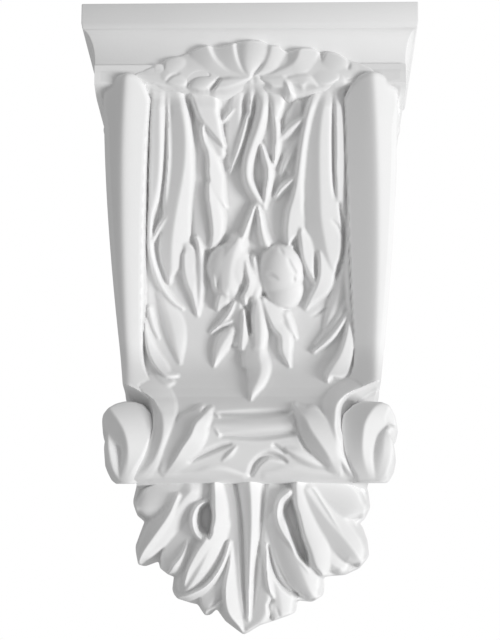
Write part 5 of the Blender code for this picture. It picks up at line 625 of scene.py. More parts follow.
def carve_crest(s):
    """The flower and the leafy band over the leaves."""
    # the ground under the flower, and the band on each side of it
    s.blade([(-14, 290.4, 8.6), (0, 292, 8.8), (12, 291, 8.0), (22, 290.4, 7.0)],
            rise=0.4, swell=0.8, lift=2.8, flank=1.6)
    s.blade([(-16, 287.0, 9.6), (-26, 286.6, 9.4), (-34, 284.8, 7.8), (-45, 282.8, 5.8),
             (-58.6, 282.6, 1.6)],
            rise=1.8, swell=0.8, lift=2.6, flank=1.6)
    s.blade([(18, 287.0, 9.0), (28, 286.8, 9.0), (36, 286.0, 9.0), (45, 285.8, 7.0), (57, 285.0, 3.2),
             (68, 279.6, 0.5)],
            rise=1.8, swell=0.8, lift=2.5, flank=1.6)
    s.boss((-38.4, 287.4), (6.6, 4.2), lift=3.4, rise=1.5, turn=10)
    s.boss((-49.0, 284.6), (5.4, 2.5), lift=2.8, rise=1.0, turn=12)
    s.boss((-38.8, 280.4), (7.4, 3.4), lift=3.4, rise=1.3, turn=-22)
    s.groove([(-42.6, 279.0, 0.4), (-39.8, 281.8, 0.8), (-36.0, 283.2, 0.5)], depth=1.3)
    s.groove([(-44.2, 289.6, 0.8), (-44.2, 287.4, 1.0), (-43.9, 285.4, 0.4)], depth=1.8)
    s.boss((41.8, 289.4), (7.4, 5.0), lift=3.4, rise=1.5, turn=-14)
    s.boss((50.8, 286.4), (5.6, 2.8), lift=2.8, rise=1.2, turn=-16)
    s.fold([(50, 288.4, 0.8, 2.2, 3.6), (58, 286.2, 0.9, 2.0, 3.6), (64.4, 282.6, 0.8, 1.4, 3.2),
            (68.4, 279.0, 0.3, 0.3, 2.2)],
           left=0.6, right=0.45)
    s.boss((38.0, 282.0), (7.0, 5.0), lift=3.4, rise=1.0)
    s.hollow([(36.6, 295.4, 2.0), (36.2, 292.6, 1.3), (35.8, 289.6, 0.5)], floor=0.4, wall=2.0)
    s.groove([(50.0, 288.4, 0.4), (49.4, 286.4, 0.9), (49.2, 285.2, 0.4)], depth=1.2)
    # outer petals
    folds(s, [
        (0.30, 1.1, 0.4, (-1.0, 281.4, 0.5, 0.5, 4.4), (-6.0, 282.6, 1.6, 0.8, 4.8),
         (-12.4, 285.0, 3.6, 0.9, 5.2), (-17.6, 289.4, 6.6, 1.1, 6.2), (-20.2, 293.6, 9.4, 1.1, 6.6),
         (-22.4, 300.0, 9.0, 1.1, 6.6)),
        (0.62, 0.26, 0.2, (6.0, 281.6, 0.5, 0.8, 3.8), (13.0, 283.6, 0.8, 2.4, 4.8),
         (19.4, 286.4, 2.4, 4.6, 5.6), (23.6, 290.4, 4.4, 8.4, 6.6), (25.8, 299.0, 5.4, 10.0, 6.6)),
        # the main petals of the flower
        (0.36, 1.2, 0.3, (-1.0, 281.6, 0.5, 0.4, 4.8), (-4.2, 284.4, 2.6, 0.5, 5.4),
         (-6.6, 289.0, 7.0, 0.7, 6.6), (-8.0, 294.0, 11.0, 0.8, 7.4), (-8.8, 301.0, 13.0, 0.8, 7.6)),
        (0.5, 0.40, 0.5, (2.0, 281.8, 0.5, 0.5, 4.4), (6.2, 285.2, 1.4, 2.8, 5.2),
         (9.4, 290.4, 2.4, 7.0, 6.4), (12.0, 300.0, 2.6, 8.0, 6.6)),
        (0.50, 0.28, 1.0, (0.0, 281.4, 0.4, 0.4, 4.8), (-1.0, 284.6, 2.4, 4.2, 5.8),
         (-1.4, 289.0, 4.8, 8.4, 6.8), (-0.6, 294.4, 7.4, 10.4, 7.8), (0.2, 301.6, 8.0, 10.0, 7.0)),
        # petals that fall below the centre
        (0.6, 0.30, 0.4, (-0.4, 280.8, 0.6, 0.6, 4.6), (-6.0, 280.0, 1.0, 2.4, 5.2),
         (-12.0, 279.4, 1.2, 3.8, 5.4), (-17.6, 278.6, 1.0, 3.8, 5.0))])
    s.boss((-24.0, 278.2), (7.6, 3.9), lift=2.6, rise=2.8, turn=6)
    s.groove([(-15.6, 280.4, 0.6), (-17.4, 278.0, 1.0), (-19.4, 275.8, 1.1), (-20.8, 275.2, 0.5)],
             depth=4.6)
    s.groove([(-31.6, 277.0, 0.6), (-29.6, 280.4, 1.1), (-26.4, 282.6, 1.1), (-21.0, 282.4, 0.7)],
             depth=1.8)
    folds(s, [
        (0.5, 0.30, 0.5, (3.0, 280.0, 0.5, 0.8, 3.4), (9.0, 280.2, 1.6, 3.6, 4.4),
         (16.0, 280.6, 1.6, 4.4, 4.8)),
        (1.0, 0.8, 0, (17.2, 280.0, 0.5, 0.6, 5.0), (18.6, 277.2, 0.9, 1.3, 5.6),
         (20.0, 273.8, 0.4, 0.5, 4.6)),
        (0.34, 0.8, 0.4, (20.4, 281.2, 2.6, 1.0, 4.4), (25.4, 281.6, 5.0, 1.2, 5.2),
         (29.6, 280.8, 4.2, 1.2, 5.2), (33.4, 277.4, 0.5, 0.4, 3.6))])
    s.hollow([(2.0, 279.6, 0.5), (4.6, 278.6, 1.8), (8.4, 276.8, 1.6), (11.0, 275.4, 0.5)],
             floor=0.0, wall=2.0)


def carve_pendant(s):
    """The leaf that hangs below the scroll."""
    # an even root, inside the scroll
    blades(s, [
        (-6, -5.6, -6, 0, 0, (-60, 91, 11.0), (60, 91, 11.0)),
        # lobes, from the outer ones to the middle, each a leaf lobe seen from the front
        # left, upper
        (-7, -2.5, -5, 0.3, 0.8, (-30, 76, 10), (-42, 70, 9), (-52, 66, 7.4), (-57.6, 64.6, 2.6)),
        (-6, 0.0, -4.5, -0.05, 0.4, (-30, 72, 8), (-40, 60, 7.5), (-48, 50, 6.8), (-54, 41.5, 4.4),
         (-56.6, 36.6, 1.0)),
        # right, upper
        (-5, -2.5, -7, -0.3, 0.8, (30, 76, 10), (42, 70, 9.6), (51, 65.6, 7.6), (57.0, 63.0, 2.8)),
        (-3.0, 0.5, -6, 0.1, 0.4, (28, 72, 8), (38, 58, 8.0), (47, 48, 7.6), (53, 40.5, 6.0),
         (56.0, 37.0, 2.0)),
        # middle lobes
        (-6.0, -2.2, -6.0, 0.4, 0.2, (-28, 60, 8), (-35, 46, 7.4), (-41, 37, 5.4), (-43.5, 33.4, 2.4)),
        (-6.0, -1.2, -6.0, -0.3, 0.4, (28, 62, 9), (35, 48, 8.2), (41.5, 38.4, 6.8), (45.5, 34.2, 3.8)),
        # lower lobes
        (-7, 1.2, -5.6, 0.25, 0.3, (-18, 56, 9), (-25, 40, 10.4), (-30, 29, 8.2), (-34.6, 21, 3.8),
         (-37, 19, 1.0)),
        (-4, 1.2, -7.0, -0.1, 0.6, (17, 56, 9), (24, 40, 10.6), (28.6, 28, 9.0), (31.4, 21, 4.4),
         (33.4, 18.6, 1.4)),
        (-6, -3.4, -7, 0.4, 0.4, (-11, 42, 4), (-17, 27, 7.0), (-21.4, 17, 4.8), (-23, 10.6, 0.8)),
        (-4.6, -3.2, -7, 0.1, 0.5, (9, 42, 3.4), (12.6, 27, 6.0), (14.6, 16, 7.4), (15.4, 10.6, 5.4)),
        # bottom lobe
        (-6.5, -3.0, -6.5, 0.0, 0.6, (-2, 50, 10), (-3, 32, 11), (-2.6, 18, 10.5), (-1.0, 9, 7.0),
         (-3.0, 2.4, 2.0), (-3.8, 0.6, 0.4))], flank=STEEP)
    # leaf body behind the eyes
    blades(s, [
        (-6, -4.0, -4, 0.0, 0.5, (-6, 78, 14), (-8, 62, 16), (-8, 48, 12)),
        (-4, -4.0, -6, 0.0, 0.5, (6, 78, 14), (8, 62, 16), (8, 48, 12)),
        # rims round the eyes
        (1.0, 3.6, -2.6, -0.75, 0.5, (-17.0, 77, 2.0), (-15.6, 66, 3.4), (-15.6, 57, 3.5),
         (-18.6, 49, 4.0), (-24, 40.5, 4.4), (-30, 32, 2.6), (-33.5, 25, 0.5)),
        (-2.0, 2.4, -0.5, -0.2, 0.5, (-22.6, 67.2, 0.7), (-27.0, 64.6, 1.5), (-29.2, 58.5, 1.7),
         (-27.8, 51.6, 1.6), (-23.6, 47.4, 1.6)),
        (-2.5, 2.8, -0.5, -0.4, 0.5, (19.6, 72.0, 2.2), (14.9, 67.4, 2.0), (13.9, 59.4, 1.9),
         (16.6, 52.4, 2.2), (20.8, 46.0, 2.0), (25.6, 38.0, 1.8), (29.6, 31.6, 0.8)),
        (0.6, 2.8, -2.2, -0.6, 0.6, (25.0, 76, 3.4), (26.8, 64, 4.6), (30.4, 53, 5.2), (34.0, 44, 5.4),
         (36, 36, 4.6), (37, 31, 1.6)),
        (-4.2, 1.8, -2.6, -0.3, 0.5, (-36.4, 70, 2.4), (-40.6, 60, 3.2), (-47.6, 50, 3.0),
         (-53.6, 42, 2.2), (-56.8, 37, 0.5)),
        (-3.4, -1.6, 0.4, 0.4, 0.2, (30, 72, 3.0), (37.4, 58.6, 4.0), (43.6, 48.4, 3.6), (48.6, 39.4, 1.6))])
    s.hollow([(-21.6, 67.0, 0.8), (-23.0, 62.5, 3.6), (-23.0, 56.0, 4.0), (-21.6, 51.4, 2.3),
              (-21.2, 48.6, 0.4)],
             floor=-13.0, wall=6.0)
    s.hollow([(20.6, 67.8, 1.0), (20.2, 62.0, 3.8), (22.0, 55.0, 3.7), (24.0, 47.6, 3.3),
              (26.6, 40.5, 3.1), (29.2, 34.8, 0.6)],
             floor=-11.0, wall=6.0)
    # curled tongue between the left lobes
    blades(s, [
        (-1.0, 1.0, -4.4, -0.7, 0.3, (-31.8, 49.4, 0.4), (-32.0, 43.4, 1.9), (-34.4, 37.4, 2.7),
         (-38.0, 33.2, 2.6), (-41.4, 31.0, 0.6)),
        # rim of the lower left lobe, and of the lower right one
        (-1.6, 2.2, -3.0, -0.5, 0.4, (-10.6, 47, 0.4), (-12.8, 38.6, 1.0), (-16.8, 30.4, 1.5),
         (-22.6, 23.8, 1.7), (-30, 20.0, 1.7), (-36.6, 18.9, 0.5)),
        (-1.8, 0.8, -4.0, -0.4, 0.3, (8.0, 46, 0.4), (8.6, 35, 1.4), (9.6, 26, 1.8), (11.2, 19, 1.2))])
    s.groove([(8.9, 45, 0.5), (11.0, 35.4, 1.3), (14.0, 27.6, 1.4), (18.6, 22.2, 1.1), (24, 18.6, 0.4)],
             depth=5.5)
    blades(s, [
        (-6.5, -2.6, -4.0, 0.1, 0.3, (-22.4, 11.8, 0.4), (-17.6, 14.6, 0.9), (-12.6, 18.4, 0.4)),
        # the bottom lobe: its left edge, the grooves and the middle rib
        (-1.0, 1.4, -5.0, -0.8, 0.2, (-9.6, 47, 0.5), (-9.2, 36, 2.0), (-9.6, 24, 4.0), (-8.4, 13, 4.2),
         (-5.2, 4.6, 1.4), (-3.8, 0.8, 0.3)),
        (-5.6, -2.2, -3.6, 0.6, 0.3, (2, 40, 3), (3.6, 28, 4.6), (5.4, 18, 5.6), (3.4, 9, 5.0),
         (-1.6, 3.2, 2.4), (-3.6, 0.8, 0.4))])
    s.groove([(-8.0, 80, 1.8), (-5.2, 66, 1.8), (-4.2, 52, 1.7), (-3.8, 36, 1.6), (-3.0, 20, 1.4),
              (-1.8, 6.6, 0.4)],
             depth=2.8)
    s.groove([(7.6, 78, 1.6), (5.6, 64, 1.9), (4.4, 50, 2.4), (3.0, 34, 2.4), (1.8, 20, 1.8),
              (0.6, 9.0, 0.4)],
             depth=2.4)
    s.blade([(-0.8, 81, 6.0), (0.2, 68, 4.8), (0.4, 55, 3.6), (-0.2, 40, 2.4), (-0.8, 25, 1.5),
             (-1.2, 7, 0.3)],
            left=-2.6, top=2.8, right=-2.6, crest=0.05, swell=0.3)
    # crack and chips low on the right
    s.groove([(10.2, 20.2, 0.5), (10.6, 17, 0.9), (9.1, 15, 0.8), (9.6, 11, 0.6), (11.0, 6.6, 0.6)],
             depth=3.0)
    s.groove([(13.0, 13.6, 0.3), (14.0, 10.6, 0.6), (15.0, 7.6, 0.3)], depth=1.0)


def carve_scroll(s):
    """Everything on the big roll: its lips, diagonal straps, flutes and low leaves."""
    # the lips that carry the bars round the roll
    folds(s, [
        (0.75, 0.42, 0.2, (-60, 132, 1.0, 5.0, 2.0), (-57.6, 127, 3.0, 9.0, 4.4),
         (-51.4, 120.4, 4.4, 11.6, 5.4), (-45.8, 114.8, 4.6, 9.2, 4.8), (-43.9, 109, 4.9, 5.8, 4.4),
         (-43.9, 102, 4.6, 2.8, 3.8), (-45.6, 95, 4.2, 1.7, 3.4), (-48.6, 88, 4.0, 2.4, 2.8),
         (-53.6, 81.5, 3.6, 3.0, 2.2), (-60.6, 76.5, 2.0, 2.0, 1.2)),
        (0.42, 0.9, 0.3, (60, 132, 5.0, 1.0, 2.0), (57.0, 126, 8.0, 2.6, 4.4),
         (52.0, 119.8, 10.4, 3.0, 5.4), (45.4, 115.6, 8.6, 2.8, 5.4), (43, 109, 5.4, 2.6, 5.8),
         (43, 103, 2.2, 2.6, 5.4), (43.6, 97, 0.7, 2.1, 4.6), (44.8, 91, 0.7, 1.8, 3.8),
         (47.8, 85, 0.8, 1.8, 3.0), (51.4, 80, 0.6, 1.6, 2.2), (55, 76.6, 0.6, 1.0, 1.4)),
        # the broad diagonal straps, each a slope to the lip's valley beside a sharp ridge
        (0.28, 0.5, 0, (-25.0, 112, 4.0, 0.5, 3.4), (-28.0, 107, 8.0, 0.5, 4.0),
         (-31.0, 101, 9.5, 0.5, 4.2), (-35.0, 95, 8.5, 0.5, 3.8), (-38.5, 89, 7.0, 0.5, 3.2),
         (-42.0, 83.6, 4.0, 0.5, 2.2)),
        (1.4, 0.72, 0.1, (-20.6, 114.4, 0.6, 1.6, 3.0), (-24.0, 110.6, 0.8, 4.6, 5.8),
         (-27.4, 107, 0.8, 6.6, 6.8), (-30.0, 101, 0.8, 7.4, 7.0), (-34.0, 95, 0.8, 7.6, 6.6),
         (-37.6, 89, 0.8, 6.4, 5.8), (-41.0, 83.6, 0.5, 3.6, 3.8), (-43.6, 80.4, 0.3, 1.0, 2.0)),
        (0.80, 0.26, 0, (22.4, 115, 1.0, 2.0, 3.0), (25.2, 112, 3.0, 4.4, 5.4),
         (27.8, 109.4, 4.8, 7.8, 6.6), (30.4, 104.4, 5.8, 9.0, 7.0), (34.4, 98.4, 6.4, 8.0, 6.8),
         (38.6, 92, 6.4, 6.0, 6.2), (41.0, 87, 4.4, 4.4, 5.0), (43.6, 82, 1.6, 2.5, 2.8))])
    s.groove([(22.4, 111, 0.5), (24.6, 102, 1.2), (28.4, 94, 1.6), (34.4, 88.0, 1.8), (38.6, 85.2, 0.8)],
             depth=1.8)
    # flutes between the straps
    s.groove([(-16, 111.8, 0.8), (2, 111.6, 2.1), (20, 112.2, 1.5)], depth=2.6)
    s.groove([(-15, 100.4, 1.0), (4, 100.4, 2.3), (22, 102, 1.5)], depth=2.6)
    s.blade([(-18, 106, 2.4), (0, 106, 3.6), (20, 106.4, 2.4)], rise=1.2, swell=0.8)
    s.blade([(-19.4, 113.6, 0.5), (-16.0, 110.4, 0.9)], rise=1.8, swell=0.4)
    s.blade([(-17.8, 104.2, 0.5), (-15.8, 101.0, 0.8)], rise=1.6, swell=0.4)
    s.blade([(24.0, 113.8, 0.6), (20.8, 111.6, 1.0)], rise=1.6, swell=0.4)
    # low leaves along the foot of the roll
    s.groove([(-31, 87.4, 0.8), (-24, 91, 1.6), (-16, 94.6, 1.7), (-10, 96.4, 0.6)], depth=2.6)
    s.blade([(-14, 88, 0.7), (-10.5, 91.2, 1.6), (-7, 95.2, 0.5)], rise=2.0, swell=0.3)
    s.blade([(18, 94, 1.0), (24, 91.4, 3.2), (31, 87.4, 2.8), (37, 84.6, 0.6)],
            rise=2.2, crest=-0.2, swell=0.5)
    s.groove([(0, 81.5, 1.8), (2.6, 86.6, 2.2), (8, 90.6, 1.9), (14, 89.8, 1.5), (18.2, 87.4, 0.6)],
             depth=4.2)
    s.groove([(12, 95.6, 1.2), (17.2, 92.4, 0.9)], depth=2.4)
    s.blade([(-50, 77.4, 1.6), (-38, 79.2, 2.0), (-28, 80.6, 2.6), (-20, 82.6, 3.0), (-13, 82.4, 2.6),
             (-4, 79.6, 2.2)],
            rise=2.0, swell=0.6)
    s.blade([(8, 80, 3.0), (20, 82.6, 3.8), (32, 81.0, 3.4), (46, 79, 2.0)], rise=1.6, swell=0.6)


def carve_volutes(s):
    """The rolled ends of the scroll, each with an eye, over the depth of the scroll's axis."""
    s.fold([(-74.4, 119.4, 1.0, 13.0, 20.0), (-71.4, 115, 5.0, 15.5, 22.0), (-67.2, 109, 9.2, 16.0, 22.4),
            (-63.8, 103, 11.0, 14.6, 22.4), (-61.9, 96, 3.4, 12.5, 22.4), (-61.9, 89, 2.6, 11.2, 22.4),
            (-63.8, 82, 2.0, 9.8, 22.0), (-66.2, 76.6, 1.2, 9.0, 20.4)],
           left=0.80, right=0.42, flank=2.5)
    s.fold([(-72.3, 102, 1.0, 4.6, 16.4), (-72.0, 97, 1.8, 7.2, 18.8), (-71.2, 91, 2.2, 7.4, 19.2),
            (-69.9, 85, 2.2, 6.2, 18.6), (-67.6, 79.4, 1.2, 3.2, 17.0)],
           left=1.2, right=0.55, swell=0.2)
    s.fold([(71.0, 119.4, 12.0, 1.0, 20.0), (64.0, 116, 13.0, 9.0, 22.0), (60.2, 111, 12.5, 13.0, 22.4),
            (57.9, 106, 11.5, 12.6, 22.4), (57.0, 100, 11.0, 6.8, 22.4), (56.8, 94, 10.2, 4.8, 22.4),
            (57.6, 88, 9.2, 3.7, 22.4), (59.5, 83, 8.4, 2.6, 22.0), (62.2, 77, 8.0, 1.2, 20.0)],
           left=0.46, right=0.80, flank=2.5)
    s.fold([(68.4, 103.4, 1.5, 4.0, 16.6), (67.6, 99, 4.6, 5.6, 19.0), (67.0, 92, 5.6, 6.6, 20.0),
            (65.6, 85, 4.2, 6.6, 19.4), (64.0, 79.0, 1.2, 4.2, 17.6)],
           left=0.6, right=0.5, swell=0.7)
    s.keep_within(*VOLUTE_OUTLINES)


def carve_cheek(s):
    """A plain S scroll on the body's side. u is the depth from the wall here, and v the height."""
    boss = [(72 + r * math.cos(a), 233 + r * math.sin(a), r / 5)
            for a, r in ((math.radians(70 + 30 * k), 8 + 1.1 * k) for k in range(14))]
    tail = [(34, 196, 4.6), (30, 172, 4.2), (36, 150, 3.6)]
    s.blade(boss + tail, rise=1.8, swell=0.8, flank=2.0)
    s.blade([(72, 233, 7.0), (73, 232, 7.0)], rise=2.0, swell=1.0, flank=2.0)
    s.blade([(30, 128, 3.0), (38, 142, 5.0), (46, 158, 5.5), (52, 176, 2.0)],
            rise=1.2, swell=0.6, flank=2.0)


def ease(x):
    """A smooth step from 0 to 1."""
    x = np.clip(x, 0, 1)
    return x * x * (3 - 2 * x)


class CorbelSizes(PropertyGroup):
    """The corbel's sizes, as the solid has them."""

    width: FloatProperty(name="Width", description="Across the slab", unit="LENGTH",
                         default=round(cad_high.x - cad_low.x, 4))
    height: FloatProperty(name="Height", description="Top of the slab to the tip of the leaf", unit="LENGTH",
                          default=0.309)
    depth: FloatProperty(name="Depth", description="Wall to the front of the slab", unit="LENGTH",
                         default=round(cad_high.y - cad_low.y, 4))
    slab_edge: FloatProperty(name="Slab Edge", description="Height of the slab's plain edge",
                             unit="LENGTH", default=0.0105)
    slab_chamfer: FloatProperty(name="Slab Chamfer", description="Height of the chamfer below the edge",
                                unit="LENGTH", default=0.0028)
    hollow_height: FloatProperty(name="Hollow Height", description="Height of the hollow moulding",
                                 unit="LENGTH", default=0.015)
    hollow_deep: FloatProperty(name="Hollow Depth", description="How far the hollow draws the sides in",
                               unit="LENGTH", default=0.0062)
    hollow_front: FloatProperty(name="Hollow Front", description="How far the hollow draws the front in",
                                unit="LENGTH", default=0.0090)
    neck_height: FloatProperty(name="Neck Height", description="Plain neck below the hollow",
                               unit="LENGTH", default=0.012)
    body_top_width: FloatProperty(name="Body Top Width", description="Across the body, under the neck",
                                  unit="LENGTH", default=0.1480)
    body_foot_width: FloatProperty(name="Body Foot Width", description="Across the body, over the scroll",
                                   unit="LENGTH", default=0.1312)
    body_bulge: FloatProperty(name="Body Bulge", description="How far each side swells between the two",
                              unit="LENGTH", default=0.0028)
    body_flare: FloatProperty(name="Body Flare", description="How far each side spreads to meet the neck",
                              unit="LENGTH", default=0.0046)
    bar_ridge_top: FloatProperty(name="Bar Ridge Top", description="Middle to each bar's ridge, at the top",
                                 unit="LENGTH", default=0.0623)
    bar_ridge_foot: FloatProperty(name="Bar Ridge Foot", description="Middle to a bar's ridge, at the foot",
                                  unit="LENGTH", default=0.0632)
    bar_inner_top: FloatProperty(name="Bar Inner Top", description="Middle to a bar's inner edge, at the top",
                                 unit="LENGTH", default=0.0486)
    bar_inner_foot: FloatProperty(name="Bar Inner Foot", description="Middle to the inner edge, at the foot",
                                  unit="LENGTH", default=0.0556)
    bar_top_depth: FloatProperty(name="Bar Top Depth", description="Wall to a bar's ridge, at its top",
                                 unit="LENGTH", default=0.1275)
    bar_foot_depth: FloatProperty(name="Bar Foot Depth", description="Wall to a bar's ridge, at its foot",
                                  unit="LENGTH", default=0.0660)
    channel_deep: FloatProperty(name="Channel Depth", description="Ridge of a bar to the floor, at the top",
                                unit="LENGTH", default=0.0150)
    channel_foot_deep: FloatProperty(name="Channel Foot Depth", description="Ridge to the floor at the foot",
                                     unit="LENGTH", default=0.0060)
    scroll_radius: FloatProperty(name="Scroll Radius", description="The big roll across the foot",
                                 unit="LENGTH", default=0.0215)
    scroll_axis_depth: FloatProperty(name="Scroll Axis Depth", description="Wall to the scroll's axis",
                                     unit="LENGTH", default=0.0640)
    scroll_axis_up: FloatProperty(name="Scroll Axis Height", description="Height of the scroll's axis",
                                  unit="LENGTH", default=-0.0580)
    volute_forward: FloatProperty(name="Volute Forward", description="Their axis in front of the scroll's",
                                  default=0.0040, unit="LENGTH")
    volute_radius: FloatProperty(name="Volute Radius", description="The scroll's rolled ends",
                                 unit="LENGTH", default=0.0215)
    leaf_top_depth: FloatProperty(name="Leaf Top Depth", description="Wall to the hanging leaf, at its top",
                                  unit="LENGTH", default=0.0600)
    leaf_tip_depth: FloatProperty(name="Leaf Tip Depth", description="Wall to the hanging leaf, at its tip",
                                  unit="LENGTH", default=0.0390)


class CorbelDetail(PropertyGroup):
    """How finely the carving is worked."""

    drawing_step: FloatProperty(name="Drawing Step", description="Spacing of the drawn heights, in units",
                                default=0.4, min=0.2, max=2.0)
    cell: FloatProperty(name="Cell", description="Side of a mesh cell on the carving", unit="LENGTH",
                        default=0.00058)
    soften: IntProperty(name="Soften", description="Rounds of softening of the carving's edges",
                        default=3, min=0, max=20)


class CorbelFinish(PropertyGroup):
    """The look of the plaster."""

    plaster_colour: FloatVectorProperty(name="Plaster", description="Colour of the plaster", subtype="COLOR",
                                        size=4, default=(0.89, 0.89, 0.89, 1.0))
    # Painted shade: a darker colour in the hollows, standing in for shade
    painted_shade_colour: FloatVectorProperty(name="Hollows", description="Colour deep in the carving",
                                       subtype="COLOR", size=4, default=(0.80, 0.80, 0.80, 1.0))
    # Painted highlight: a lighter colour on sharp edges, standing in for light catching them
    painted_highlight_colour: FloatVectorProperty(name="Edges", description="Colour of painted highlights on edges", subtype="COLOR",
                                     size=4, default=(0.95, 0.95, 0.95, 1.0))
    roughness: FloatProperty(name="Roughness", description="Roughness of the plaster", default=0.62,
                             min=0.0, max=1.0)
    grain: FloatProperty(name="Grain", description="Depth of the plaster's fine grain", unit="LENGTH",
                         default=0.00005)


class CorbelStudio(PropertyGroup):
    """The studio round the corbel."""

    floor_drop: FloatProperty(name="Floor Drop", description="How far below the leaf the floor lies",
                              unit="LENGTH", default=2.20)
    floor_colour: FloatVectorProperty(name="Floor", description="Colour of the floor", subtype="COLOR",
                                      size=4, default=(0.88, 0.88, 0.88, 1.0))
    key_power: FloatProperty(name="Key Light", description="Power of the light on the right", unit="POWER",
                             default=225.0)
    fill: FloatProperty(name="Fill", description="Strength of the light from all round", default=0.385)
    backdrop: FloatProperty(name="Backdrop", description="Brightness of the backdrop that the camera sees",
                            default=1.0)


